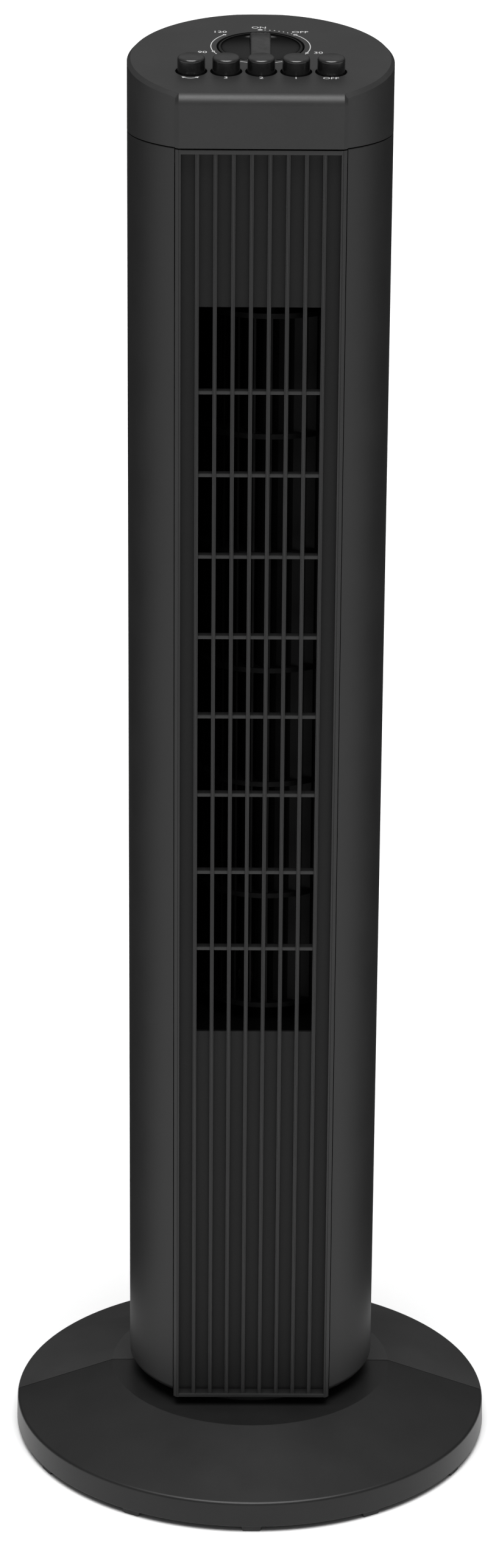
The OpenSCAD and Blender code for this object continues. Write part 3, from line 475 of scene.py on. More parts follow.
PALE_PLASTIC = Mottled("pale_plastic", dark=(0.66, 0.64, 0.56), light=(0.74, 0.73, 0.68), band=(0.3, 0.7),
                       cloud=(12.0, 4.0), grain=(0.5, 2.0), rough=(0.4, 0.12, 0.0), relief_mm=0.012)
FINISHES = {
    Slot.BASE: MouldedPlastic("base_front_grain", tone=0.0085, roughness=0.38, specular=0.3),
    Slot.COLLAR: MouldedPlastic("collar_grain", tone=0.009, grain_depth_mm=0.008),
    Slot.SHELL: MouldedPlastic("shell_grain", tone=0.009),
    Slot.GRILLE: MouldedPlastic("grille_grain", tone=0.010, roughness=0.42, dust=0.16),
    # Painted shade: the parts inside the column are coloured near black, standing in for the shade behind the
    # grille.
    Slot.INNER: MouldedPlastic("inner_grain_painted_shade", tone=0.002, specular=0.12, grain_depth_mm=0.006),
    Slot.RUBBER: BLACK_RUBBER,
    Slot.SCREW: replace(PLATED_SHEET, name="plated_screw", light=(0.6, 0.56, 0.46)),
    Slot.ACETAL: MouldedPlastic("black_acetal", tone=0.009, roughness=0.36, grain_depth_mm=0.004),
    Slot.ZINC: PLATED_SHEET,
    Slot.BRONZE: BRONZE,
    Slot.LAMINATION: Laminations("varnished_laminations"),
    Slot.COPPER: WoundWire("enamelled_copper"),
    Slot.SHAFT: GROUND_STEEL,
    Slot.WHITE: PALE_PLASTIC,
    Slot.JACKET: replace(BLACK_RUBBER, name="wire_sleeve", dark=grey(0.014), light=grey(0.0238)),
    Slot.GLOSS: PolishedPlastic("polished_black"),
    Slot.SPRING: replace(GROUND_STEEL, name="spring_wire", dark=grey(0.425), light=grey(0.5)),
}


class Paintshop:
    """Makes each finish once and hands it out."""

    def __init__(self) -> None:
        """Starts with no material made."""
        self.made: dict[str, bpy.types.Material] = {}

    def get(self, finish: object) -> bpy.types.Material:
        """The material of a finish, made when it is first asked for.

        Args:
            finish: any of the finishes.

        Returns:
            Its material.
        """
        if finish.name not in self.made:
            self.made[finish.name] = finish.make()
        return self.made[finish.name]


SHOP = Paintshop()


# ---- shapes ----


def rounded(corners: Sequence[Corner], steps: int = 4) -> list[Point]:
    """Rounds the corners of a closed outline.

    Args:
        corners: (x, y, radius) of each corner in order; radius 0 keeps it sharp.
        steps: pieces in each arc.

    Returns:
        The points of the outline.
    """
    points: list[Point] = []
    for i, (x, y, radius) in enumerate(corners):
        here = Vector((x, y))
        if radius <= 0:
            points.append((x, y))
            continue
        back = (Vector(corners[i - 1][:2]) - here).normalized()
        ahead = (Vector(corners[(i + 1) % len(corners)][:2]) - here).normalized()
        half = back.angle(ahead) / 2
        centre = here + (back + ahead).normalized() * radius / math.sin(half)
        first = here + back * radius / math.tan(half) - centre
        swing = first.angle_signed(here + ahead * radius / math.tan(half) - centre)
        for k in range(steps + 1):
            spoke = first.copy()
            spoke.rotate(Matrix.Rotation(-swing * k / steps, 2))
            points.append(tuple(centre + spoke))
    return points


class Shape:
    """A solid that is being modelled, in millimetres."""

    def __init__(self) -> None:
        """Starts empty."""
        self.bm = bmesh.new()

    @classmethod
    def block(cls, low: Sequence[float], high: Sequence[float]) -> "Shape":
        """A box between two corners.

        Args:
            low: the lowest corner.
            high: the highest corner.

        Returns:
            The box.
        """
        shape = cls()
        size = Vector(high) - Vector(low)
        middle = (Vector(high) + Vector(low)) / 2
        place = Matrix.Translation(middle) @ Matrix.Diagonal((*size, 1))
        bmesh.ops.create_cube(shape.bm, size=1, matrix=place)
        return shape

    @classmethod
    def prism(cls, outline: Sequence[Point], low: float, high: float) -> "Shape":
        """A flat outline drawn up from one height to another.

        Args:
            outline: (x, y) points in order.
            low: height of its foot.
            high: height of its head.

        Returns:
            The prism.
        """
        shape = cls()
        bm = shape.bm
        face = bm.faces.new([bm.verts.new((x, y, low)) for x, y in outline])
        grown = bmesh.ops.extrude_face_region(bm, geom=[face])["geom"]
        moved = [g for g in grown if isinstance(g, bmesh.types.BMVert)]
        bmesh.ops.translate(bm, verts=moved, vec=(0, 0, high - low))
        bmesh.ops.recalc_face_normals(bm, faces=bm.faces)
        return shape

    @classmethod
    def lathe(cls, outline: Sequence[Point], steps: int, start: float = 0.0, sweep: float = 360.0) -> "Shape":
        """Turns an outline about the Z axis.

        Args:
            outline: (radius, height) points; closed, or open from axis to axis.
            steps: pieces in the turn.
            start: first angle in degrees, from +X.
            sweep: angle turned, in degrees.

        Returns:
            The turned solid.
        """
        shape = cls()
        bm = shape.bm
        turn = Matrix.Rotation(math.radians(start), 4, "Z")
        verts = [bm.verts.new(turn @ Vector((r, 0, z))) for r, z in outline]
        on_axis = outline[0][0] == 0 and outline[-1][0] == 0
        edges = [bm.edges.new(pair) for pair in zip(verts, verts[1:])]
        if not on_axis:
            edges.append(bm.edges.new((verts[-1], verts[0])))
        whole = sweep >= 360
        geom = [*verts, *edges] + ([] if whole else [bm.faces.new(verts)])
        bmesh.ops.spin(bm, geom=geom, cent=(0, 0, 0), axis=(0, 0, 1), angle=math.radians(sweep),
                       steps=steps, use_merge=whole, use_duplicate=False)
        bmesh.ops.remove_doubles(bm, verts=bm.verts, dist=MERGE)
        bmesh.ops.recalc_face_normals(bm, faces=bm.faces)
        return shape

    def soften(self, width: float, segments: int = 2,
               pick: Callable[[bmesh.types.BMEdge], bool] | None = None) -> "Shape":
        """Bevels edges.

        Args:
            width: how far the bevel reaches along each face.
            segments: pieces across the bevel.
            pick: says which edges to bevel; all edges over 25 degrees without it.

        Returns:
            This shape.
        """
        def sharp(edge: bmesh.types.BMEdge) -> bool:
            """True for a folded edge."""
            return edge.calc_face_angle(0.0) > math.radians(25)

        edges = [e for e in self.bm.edges if (pick or sharp)(e)]
        bmesh.ops.bevel(self.bm, geom=edges, offset=width, offset_type="OFFSET", affect="EDGES",
                        segments=segments, profile=0.5, material=-1, clamp_overlap=True)
        return self

    def cut(self, point: Sequence[float], normal: Sequence[float]) -> "Shape":
        """Removes what lies past a plane, on the side its normal points to, and closes the cut.

        Args:
            point: a point of the plane.
            normal: the direction that is cut off.

        Returns:
            This shape.
        """
        geom = [*self.bm.verts, *self.bm.edges, *self.bm.faces]
        cut = bmesh.ops.bisect_plane(self.bm, geom=geom, plane_co=point, plane_no=normal, clear_outer=True)
        rim = [g for g in cut["geom_cut"] if isinstance(g, bmesh.types.BMEdge)]
        bmesh.ops.edgeloop_fill(self.bm, edges=rim)
        bmesh.ops.recalc_face_normals(self.bm, faces=self.bm.faces)
        return self

    def move(self, matrix: Matrix) -> "Shape":
        """Moves the whole shape.

        Args:
            matrix: the motion; a mirror keeps the faces outward.

        Returns:
            This shape.
        """
        bmesh.ops.transform(self.bm, matrix=matrix, verts=self.bm.verts)
        if matrix.determinant() < 0:
            bmesh.ops.reverse_faces(self.bm, faces=self.bm.faces)
        return self

    def join(self, *others: "Shape") -> "Shape":
        """Takes the others' meshes into this one.

        Args:
            others: the shapes to add.

        Returns:
            This shape.
        """
        for other in others:
            mesh = bpy.data.meshes.new("joined")
            other.bm.to_mesh(mesh)
            self.bm.from_mesh(mesh)
            bpy.data.meshes.remove(mesh)
        return self

    def twin(self, matrix: Matrix) -> "Shape":
        """A moved copy of this shape.

        Args:
            matrix: where the copy goes.

        Returns:
            The copy.
        """
        copy = Shape()
        copy.bm = self.bm.copy()
        return copy.move(matrix)

    def piece(self, name: str, body: str, slot: Slot, nodes: Sequence[str] = (),
              finish: object | None = None, sharp: float = 34.0, wall: float = 0.0) -> bpy.types.Object:
        """Ends the modelling and puts the piece in the scene.

        Args:
            name: the piece's name.
            body: the body it rides on.
            slot: the record's material slot.
            nodes: CAD nodes that it stands for.
            finish: its finish, if that isn't the slot's own.
            sharp: angle in degrees above which an edge stays sharp.
            wall: thickness in millimetres given to an open skin.

        Returns:
            The object.
        """
        bmesh.ops.delete(self.bm, geom=[e for e in self.bm.edges if e.is_wire], context="EDGES")
        bmesh.ops.scale(self.bm, vec=(MM, MM, MM), verts=self.bm.verts)
        open_edges = sum(1 for e in self.bm.edges if not e.is_manifold)
        creased = [e.is_boundary or not e.smooth for e in self.bm.edges]
        mesh = bpy.data.meshes.new(name)
        self.bm.to_mesh(mesh)
        self.bm.free()
        mesh.shade_smooth()
        mesh.set_sharp_from_angle(angle=math.radians(sharp))
        for edge, crease in zip(mesh.edges, creased):
            edge.use_edge_sharp = edge.use_edge_sharp or crease
        mesh.materials.append(SHOP.get(finish or FINISHES[slot]))
        piece = bpy.data.objects.new(name, mesh)
        bpy.context.scene.collection.objects.link(piece)
        if wall > 0:
            shell = piece.modifiers.new("wall", "SOLIDIFY")
            shell.thickness = wall * MM
            shell.offset = -1
        normals = piece.modifiers.new("normals", "WEIGHTED_NORMAL")
        normals.keep_sharp = True
        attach(piece, body)
        if nodes:
            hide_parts(*nodes)
        LOG.info("%s: %d faces, %d open edges, rides on %s", name, len(mesh.polygons), open_edges, body)
        return piece


def low_high(node: str) -> tuple[Vector, Vector]:
    """A CAD node's lowest and highest corner, in millimetres."""
    low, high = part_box(node)
    return low / MM, high / MM


# ---- sub-assemblies ----


@dataclass
class BaseDisc:
    """Disc base in two halves, with its ribs and feet."""

    plateau_r: float = 74.5
    plateau_round: float = 1.6
    wall: float = 2.5
    rim_round: float = 2.0
    rim_height: float = 13.3
    draft: float = 0.4
    hole_r: float = 24.4
    seam: float = 0.28
    seam_round: float = 0.5
    rib_reach: Point = (41.0, 124.0)
    rib_low: float = 11.0
    rib_t: float = 2.0
    foot_width: float = 10.6
    foot_depth: float = 8.0
    foot_ring: float = 121.0
    foot_taper: float = 0.9
    foot_angles: Sequence[float] = (-150, -120, -60, -30, 0, 30, 60, 120, 150)
    stem_r: float = 2.4
    stem_h: float = 5.0
    turn_steps: int = 160

    def outline(self) -> list[Point]:
        """Section of the ring from the middle hole to the rim, as (radius, height).

        Returns:
            The outline in millimetres.
        """
        low, high = low_high("base_front")
        radius = low_high("base_rear")[1].y
        top, foot = high.z, low.z
        brim = radius - self.draft
        shoulder = foot + self.rim_height
        return rounded([
            (self.hole_r, top, 0.4), (self.plateau_r, top, self.plateau_round),
            (brim, shoulder, self.rim_round), (radius, foot, 0.5),
            (radius - self.wall, foot, 0.3), (brim - self.wall, shoulder - self.wall * 0.7, 1.0),
            (self.plateau_r, top - self.wall, 1.0), (self.hole_r, top - self.wall, 0)], 5)

    def half(self, side: int) -> Shape:
        """One half of the shell with its ribs.

        Args:
            side: -1 for the front half, 1 for the rear.

        Returns:
            The half.
        """
        shell = Shape.lathe(self.outline(), self.turn_steps)
        shell.cut((0, side * self.seam, 0), (0, -side, 0))

        def on_seam(edge: bmesh.types.BMEdge) -> bool:
            """True for an edge round the cut face.

            Args:
                edge: an edge of the shell.

            Returns:
                Whether it is to be rounded.
            """
            return (all(abs(v.co.y - side * self.seam) < NEAR for v in edge.verts)
                    and edge.calc_face_angle(0.0) > FOLDED)

        shell.soften(self.seam_round, 2, on_seam)
        high = low_high("base_front")[1]
        slope = (high.z - low_high("base_front")[0].z - self.rim_height) / (high.x - self.plateau_r)
        rise = high.z - self.wall / 2
        inner, outer = self.rib_reach
        profile = [(inner, self.rib_low), (outer, self.rib_low),
                   (outer, rise - (outer - self.plateau_r) * slope), (self.plateau_r, rise), (inner, rise)]
        rib = Shape.prism(profile, -self.rib_t / 2, self.rib_t / 2)
        rib.move(TIP_BACK)
        for angle in range(15, 180, 30):
            shell.join(rib.twin(Matrix.Rotation(math.radians(side * angle), 4, "Z")))
        return shell

    def feet(self) -> Shape:
        """The rubber pads round the rim, each a rounded block that narrows downwards.

        Returns:
            All the pads.
        """
        top = low_high("base_front")[0].z
        half = self.foot_width / 2
        pad = Shape.prism(rounded([
            (-half + self.foot_taper, 0, 0.8), (half - self.foot_taper, 0, 0.8),
            (half, top - 0.02, 0), (-half, top - 0.02, 0)], 4),
            -self.foot_depth / 2, self.foot_depth / 2)
        pad.soften(0.35, 2, lambda e: e.calc_face_angle(0.0) > FOLDED and e.calc_length() < 9)
        pad.move(TIP_BACK)
        stem, tip = self.stem_r, top + self.stem_h
        pad.join(Shape.lathe([(0, top - 0.1), (stem, top - 0.1), (stem, tip - 0.4), (stem - 0.5, tip),
                              (0, tip)], 24))
        group = Shape()
        for angle in self.foot_angles:
            spot = Matrix.Rotation(math.radians(angle), 4, "Z") @ Matrix.Translation((0, -self.foot_ring, 0))
            group.join(pad.twin(spot))
        return group

    def build(self) -> None:
        """Builds the base."""
        self.half(-1).piece("base_front_half", "base", Slot.BASE, ["base_front"])
        # Painted reflection: the rear half is coloured lighter than the front half, standing in for the bright
        # room that its top reflects.
        self.half(1).piece("base_rear_half", "base", Slot.BASE, ["base_rear"],
                           MouldedPlastic("base_rear_grain_painted_reflection", tone=0.02, roughness=0.42))
        self.feet().piece("floor_pads", "base", Slot.RUBBER, ["base_feet"])


@dataclass
class FrontShell:
    """Front casing of the column: two curved flanks, their return flanges, webs and bosses."""

    toe: float = 3.5
    wall: float = 2.5
    lip: float = 9.0
    slot_gap: float = 0.4
    edge_round: float = 1.1
    top_round: float = 0.35
    flange: float = 2.5
    web_gap: float = 6.0
    boss_r: float = 4.5
    boss_hole: float = 1.6
    boss_front: float = -10.0
    boss_inset: float = 11.0
    flange_front: Point = (-48.4, -47.6)
    panel_lap: float = 0.3
    catch: float = 4.0
    top_stop: float = 9.0
    lip_play: float = 0.15
    lip_t: float = 1.2
    lip_start: float = -3.0
    lip_sweep: float = 10.0
    lip_gap: float = 7.0
    turn_steps: int = 40

    def flank(self) -> Shape:
        """The right flank, from the grille's slot to the seam with the rear casing.

        Returns:
            The flank.
        """
        low, high = low_high("front_shell")
        slot = low_high("front_grille")[1].x + self.slot_gap
        radius = high.x
        top = high.z - 0.25
        outline = rounded([
            (radius, top, self.top_round), (radius - self.wall, top, self.top_round),
            (radius - self.wall, low.z + self.wall, 0), (radius - self.lip, low.z + self.wall, 0),
            (radius - self.lip, low.z, 0.4), (radius, low.z, self.toe)], 6)
        end = math.degrees(math.asin(high.y / radius))
        flank = Shape.lathe(outline, self.turn_steps, -60.0, 60.0 + end)
        flank.cut((slot, 0, 0), (-1, 0, 0))

        def slot_edge(edge: bmesh.types.BMEdge) -> bool:
            """True for the outer upright edge beside the grille.

            Args:
                edge: an edge of the flank.

            Returns:
                Whether it is that edge.
            """
            on_cut = all(abs(v.co.x - slot) < NEAR for v in edge.verts)
            outer = all(v.co.y < -math.sqrt(radius ** 2 - slot ** 2) + 0.3 for v in edge.verts)
            return on_cut and outer and edge.calc_length() > 20

        return flank.soften(self.edge_round, 4, slot_edge)

    def build(self) -> None:
        """Builds the front casing."""
        low, high = low_high("front_shell")
        panel_high = low_high("front_grille")[1]
        slot = panel_high.x + self.slot_gap
        back = panel_high.y - self.panel_lap
        guide_low, guide_high = low_high("air_guide")
        half = self.flank()
        side = [(slot, self.flange_front[0]), (slot + self.flange, self.flange_front[1]),
                (slot + self.flange, back + self.flange), (slot - self.catch, back + self.flange),
                (slot - self.catch, back + 0.5), (slot, back + 0.5)]
        half.join(Shape.prism(side, low.z + self.wall, high.z - self.top_stop))
        for level in self.boss_levels():
            boss = Shape.lathe([(self.boss_hole, self.boss_front), (self.boss_r, self.boss_front),
                                (self.boss_r, high.y), (self.boss_hole, high.y)], 24)
            spot = Matrix.Translation((high.x - self.boss_inset, 0, level)) @ TIP_BACK.inverted()
            half.join(boss.move(spot))
        shell = half.twin(MIRROR).join(half)
        for bottom, top in ((low.z + self.wall, guide_low.z - self.web_gap),
                            (guide_high.z + self.web_gap, high.z - self.top_stop)):
            shell.join(Shape.block((-slot, back + 0.5, bottom), (slot, back + self.flange, top)))
        shell.join(*self.lips())
        shell.piece("front_casing", "tower", Slot.SHELL, ["front_shell"])

    def lips(self) -> list[Shape]:
        """Strips behind the seam that reach into the rear casing, broken at the bosses.

        Returns:
            One strip for each stretch of each side.
        """
        low, high = low_high("front_shell")
        outer = high.x - self.wall - self.lip_play
        inner = outer - self.lip_t
        levels = self.boss_levels()
        starts = [low.z + self.wall + 1, *(level + self.lip_gap for level in levels)]
        ends = [*(level - self.lip_gap for level in levels), high.z - self.top_stop - 0.2]
        section = [(outer, 0), (inner, 0), (inner, 1), (outer, 1)]
        strips = []
        for bottom, top in zip(starts, ends):
            for start in (self.lip_start, self.lip_start + 176.0):
                strip = Shape.lathe(section, 6, start, self.lip_sweep)
                strips.append(strip.move(Matrix.Translation((0, 0, bottom))
                                         @ Matrix.Diagonal((1, 1, top - bottom, 1))))
        return strips

    def boss_levels(self) -> list[float]:
        """Heights of the bosses, which are those of the casing screws.

        Returns:
            The heights from the lowest up.
        """
        screws = frame["nodes"]["shell_screws"].data.vertices
        levels = sorted({round(v.co.z / MM / 40) for v in screws})
        groups = [[v.co.z / MM for v in screws if round(v.co.z / MM / 40) == n] for n in levels]
        return sorted({round((min(g) + max(g)) / 2, 1) for g in groups})


@dataclass
class Grille:
    """Flat front moulding: bevelled frame, slats, cross bars and the blank plates."""

    chamfer: float = 1.7
    border: float = 2.85
    groove_w: float = 0.25
    groove_d: float = 0.4
    end_bar: float = 2.2
    slats: int = 8
    slat_w: float = 2.0
    slat_pitch: float = 8.7
    slat_inset: float = 0.3
    slat_round: float = 0.35
    slat_dip: float = 0.3
    bar_h: float = 1.9
    bar_inset: float = 1.3
    bar_depth: float = 5.0
    bar_pitch: float = 41.4
    recess: float = 5.6
    plate: float = 2.0
    lap: float = 0.4
    bar_set_back: float = 0.12
    slat_tail: float = 1.8
    slat_ends: float = 1.2

    def border_outline(self) -> list[Point]:
        """Plan of the right border: chamfer, fine groove and inner ridge.

        Returns:
            The outline in millimetres.
        """
        low, high = low_high("front_grille")
        edge, inner, front, back = high.x, high.x - self.border, low.y, high.y
        step = edge - self.chamfer
        return rounded([
            (edge, back, 0), (edge, front + self.chamfer, 0.35), (step, front, 0.12),
            (step - 0.05, front + self.groove_d, 0), (step - self.groove_w, front + self.groove_d, 0),
            (step - self.groove_w, front + 0.05, 0.12), (inner, front + 0.05, 0.4), (inner, back, 0)], 3)

    def build(self) -> None:
        """Builds the grille."""
        low, high = low_high("front_grille")
        outlet_low, outlet_high = self.outlet()
        inner = high.x - self.border
        border = Shape.prism(self.border_outline(), low.z, high.z)
        border.soften(0.25, 2, lambda e: all(abs(v.co.z - low.z) < NEAR for v in e.verts))
        grille = border.twin(MIRROR).join(border)
        for bottom in (low.z, high.z - self.end_bar):
            bar = Shape.block((-inner - self.lap, low.y + self.bar_set_back, bottom),
                              (inner + self.lap, high.y, bottom + self.end_bar))
            grille.join(bar.soften(0.3, 2))
        front = low.y + self.slat_inset
        plate_y = low.y + self.recess
        half, dip = self.slat_w / 2, self.slat_w * 0.17
        slat = Shape.prism(rounded([
            (-half, plate_y + self.slat_tail, 0), (-half, front, self.slat_round), (-dip * 1.5, front, 0.15),
            (-dip, front + self.slat_dip, 0.2), (dip, front + self.slat_dip, 0.2), (dip * 1.5, front, 0.15),
            (half, front, self.slat_round), (half, plate_y + self.slat_tail, 0)], 3),
            low.z + self.slat_ends, high.z - self.slat_ends)
        middle = (self.slats - 1) / 2
        for i in range(self.slats):
            grille.join(slat.twin(Matrix.Translation(((i - middle) * self.slat_pitch, 0, 0))))
        reach = middle * self.slat_pitch
        count = int((outlet_high - outlet_low - self.bar_pitch / 2) / self.bar_pitch)
        for i in range(1, count + 1):
            level = outlet_high - i * self.bar_pitch
            bar = Shape.block((-reach, low.y + self.bar_inset, level - self.bar_h / 2),
                              (reach, low.y + self.bar_inset + self.bar_depth, level + self.bar_h / 2))
            grille.join(bar.soften(0.35, 2))
        edge = inner + 0.3
        zones = ((-edge, edge, low.z + 1, outlet_low), (-edge, edge, outlet_high, high.z - 1),
                 (-edge, -reach, outlet_low, outlet_high), (reach, edge, outlet_low, outlet_high))
        blank = Shape()
        for x0, x1, z0, z1 in zones:
            blank.join(Shape.block((x0, plate_y, z0), (x1, plate_y + self.plate, z1)))
        grille.piece("grille_moulding", "tower", Slot.GRILLE, ["front_grille"])
        # Painted shade: the blank plates at the back of the recess are coloured darker than the grille, standing
        # in for the shade in the recess.
        blank.piece("grille_blanks", "tower", Slot.GRILLE,
                    finish=MouldedPlastic("channel_grain_painted_shade", tone=0.0075, specular=0.22, dust=0.16))

    def outlet(self) -> Point:
        """Lowest and highest level of the outlet."""
        low, high = low_high("air_guide")
        return low.z + 1.0, high.z - 1.4


@dataclass
class SlantedTop:
    """The slanted plane that carries the controls, and where they stand on it."""

    pivot: Vector = field(default_factory=Vector)
    axis: Vector = field(default_factory=Vector)
    knob_v: float = 16.0
    button_v: float = -20.0
    button_pitch: float = 16.8

    def __post_init__(self) -> None:
        """Takes the plane from the timer knob's joint."""
        joint = next(j for j in frame["joints"] if j["name"] == "timer_turn")
        self.pivot = Vector(joint["pos_m"]) / MM
        self.axis = Vector(joint["axis"]).normalized()

    @property
    def slope(self) -> float:
        """Fall towards the front, in radians."""
        return math.atan2(-self.axis.y, self.axis.z)

    def height(self, y: float) -> float:
        """Height of the plane at a depth."""
        return self.pivot.z + (y - self.pivot.y) * math.tan(self.slope)

    def place(self, x: float, v: float) -> Matrix:
        """Frame of a place on the plane.

        Args:
            x: how far across from the column's axis.
            v: how far up the slope from it.

        Returns:
            The frame, with Z out of the plane.
        """
        origin = Vector((0, 0, self.height(0)))
        plane = Matrix.Translation(origin) @ Matrix.Rotation(self.slope, 4, "X")
        return plane @ Matrix.Translation((x, v, 0))


@dataclass
class TopCap:
    """Cap with a slanted top, a flat brow over the grille, button holes and the knob's well."""

    top: SlantedTop
    rim: float = 1.7
    brow_r: float = 6.0
    wall: float = 2.5
    well_r: float = 21.6
    well_depth: float = 5.0
    hole_r: float = 7.75
    seam_gap: float = 0.3
    skirt: float = 8.0
    skirt_gap: float = 0.3
    skirt_t: float = 2.0
    skirt_rise: float = 3.0
    skirt_front: float = -45.0
    arc_steps: int = 112
    brow_steps: int = 18

    def chains(self) -> tuple[list[Vector], list[Vector]]:
        """Upper and lower edge of the rim band, from the right foot of the brow round the back to the left.

        Returns:
            Points of the upper and of the lower edge, one for one.
        """
        low, high = low_high("top_cap")
        half = low_high("front_grille")[1].x
        radius = high.x
        front = low.y
        centre_y = front + self.brow_r
        slope = self.top.slope
        centre_z = self.top.height(centre_y) - self.brow_r / math.cos(slope)
        seam = low_high("front_shell")[1].z + self.seam_gap
        ends = []
        for inset in (self.rim, 0.0):
            drop = self.rim - inset
            x, ring, bend = half - inset, radius - inset, self.brow_r - drop

            def lift(y: float, bend: float = bend, drop: float = drop) -> float:
                """Height of this edge's surface at a depth.

                Args:
                    y: the depth.
                    bend: radius of the brow at this edge.
                    drop: how far it lies below the outer skin.

                Returns:
                    The height.
                """
                if y >= centre_y - bend * math.sin(slope):
                    return min(self.top.height(y) - drop / math.cos(slope), high.z)
                return centre_z + math.sqrt(max(bend ** 2 - (y - centre_y) ** 2, 0))

            first = -math.acos(x / ring)
            turn = math.pi - 2 * first
            arc = [Vector((ring * math.cos(a), ring * math.sin(a), lift(ring * math.sin(a))))
                   for a in (first + turn * k / self.arc_steps for k in range(self.arc_steps + 1))]
            meet = math.acos((ring * math.sin(first) - centre_y) / bend)
            step = (math.pi - meet) / self.brow_steps
            turns = [meet + step * k for k in range(1, self.brow_steps + 1)]
            bow = [(centre_y + bend * math.cos(p), centre_z + bend * math.sin(p)) for p in turns]
            side = [Vector((x, y, z)) for y, z in bow] + [Vector((x, front + drop, seam))]
            mirrored = [Vector((-v.x, v.y, v.z)) for v in side]
            ends.append([*reversed(side), *arc, *mirrored])
        return ends[0], ends[1]

    def build(self) -> None:
        """Builds the cap."""
        upper, lower = self.chains()
        bm = bmesh.new()
        rows = [[bm.verts.new(p) for p in chain] for chain in (upper, lower)]
        chains = [[bm.edges.new(pair) for pair in zip(row, row[1:])] for row in rows]
        bmesh.ops.bridge_loops(bm, edges=chains[0] + chains[1])
        count = self.brow_steps + 1
        self.close_brow(bm, rows[0], count)
        self.fill_top(bm, rows[0][count:len(rows[0]) - count])
        self.drop_sides(bm, rows[1], count)
        bmesh.ops.remove_doubles(bm, verts=bm.verts, dist=NEAR)
        bmesh.ops.recalc_face_normals(bm, faces=bm.faces)
        cap = Shape()
        cap.bm = bm
        if max(bm.faces, key=lambda f: f.calc_center_median().z * f.normal.z).normal.z < 0:
            bmesh.ops.reverse_faces(bm, faces=bm.faces)
        # Painted sheen: the cap is coloured lighter than the casings, standing in for the bright reflection on its
        # slanted top.
        cap.piece("top_cap_moulding", "tower", Slot.SHELL, ["top_cap"],
                  MouldedPlastic("cap_grain_painted_sheen", tone=0.0125, specular=0.46, drag_lines=0.5), wall=self.wall)
        self.skirt_ring().piece("cap_skirt", "tower", Slot.SHELL)

    def close_brow(self, bm: bmesh.types.BMesh, row: Sequence[bmesh.types.BMVert], count: int) -> None:
        """Joins the left and right run of the brow with strips across the front.

        Args:
            bm: the mesh.
            row: the upper edge of the band.
            count: strips on each side.
        """
        for k in range(count):
            bm.faces.new((row[k], row[k + 1], row[-k - 2], row[-k - 1]))

    def fill_top(self, bm: bmesh.types.BMesh, arc: Sequence[bmesh.types.BMVert]) -> None:
        """Fills the slanted top, leaving the button holes and sinking the knob's well.

        Args:
            bm: the mesh.
            arc: the border of the slanted top.
        """
        edges = [bm.edges.get(pair) or bm.edges.new(pair) for pair in zip(arc, [*arc[1:], arc[0]])]
        top = self.top
        holes = [(i * top.button_pitch, top.button_v, self.hole_r, 40) for i in range(-2, 3)]
        holes.append((0.0, top.knob_v, self.well_r, 80))
        rims = []
        for x, v, radius, sides in holes:
            ring = bmesh.ops.create_circle(bm, cap_ends=False, radius=radius, segments=sides,
                                           matrix=top.place(x, v))["verts"]
            rims.append(list({e for vert in ring for e in vert.link_edges}))
        filled = bmesh.ops.triangle_fill(bm, edges=edges + [e for rim in rims for e in rim], use_beauty=True,
                                         normal=top.axis)["geom"]
        plane = {g for g in filled if isinstance(g, bmesh.types.BMFace)}
        for edge in {e for face in plane for e in face.edges}:
            edge.smooth = all(face in plane for face in edge.link_faces)
        down = -top.axis * self.well_depth
        grown = bmesh.ops.extrude_edge_only(bm, edges=rims[-1])["geom"]
        bmesh.ops.translate(bm, vec=down, verts=[g for g in grown if isinstance(g, bmesh.types.BMVert)])
        bmesh.ops.edgeloop_fill(bm, edges=[g for g in grown if isinstance(g, bmesh.types.BMEdge)
                                           and len(g.link_faces) == 1])

    def drop_sides(self, bm: bmesh.types.BMesh, row: Sequence[bmesh.types.BMVert], count: int) -> None:
        """Draws the lower edge of the band down to the seam, and back to the flank beside the brow.

        Args:
            bm: the mesh.
            row: the lower edge of the band.
            count: points beside the brow.
        """
        seam = row[0].co.z
        edges = [bm.edges.get(pair) for pair in zip(row[count:-count], row[count + 1:len(row) - count])]
        grown = bmesh.ops.extrude_edge_only(bm, edges=edges)["geom"]
        for vert in (g for g in grown if isinstance(g, bmesh.types.BMVert)):
            vert.co.z = seam
        for run in (row[:count + 1], row[-count - 1:]):
            corner = run[-1] if run[0].co.z == seam else run[0]
            edges = [bm.edges.get(pair) for pair in zip(run, run[1:])]
            grown = bmesh.ops.extrude_edge_only(bm, edges=edges)["geom"]
            for vert in (g for g in grown if isinstance(g, bmesh.types.BMVert)):
                vert.co.y = corner.co.y

    def skirt_ring(self) -> Shape:
        """The skirt that drops inside the casings.

        Returns:
            The skirt.
        """
        high = low_high("top_cap")[1]
        seam = low_high("front_shell")[1].z
        outer = high.x - self.wall - self.skirt_gap
        inner = outer - self.skirt_t
        foot, head = seam - self.skirt, seam + self.skirt_rise
        ring = Shape.lathe(rounded([(outer, foot, 0.4), (outer, head, 0), (inner, head, 0),
                                    (inner, foot, 0.4)], 3), 96)
        return ring.cut((0, self.skirt_front, 0), (0, -1, 0))


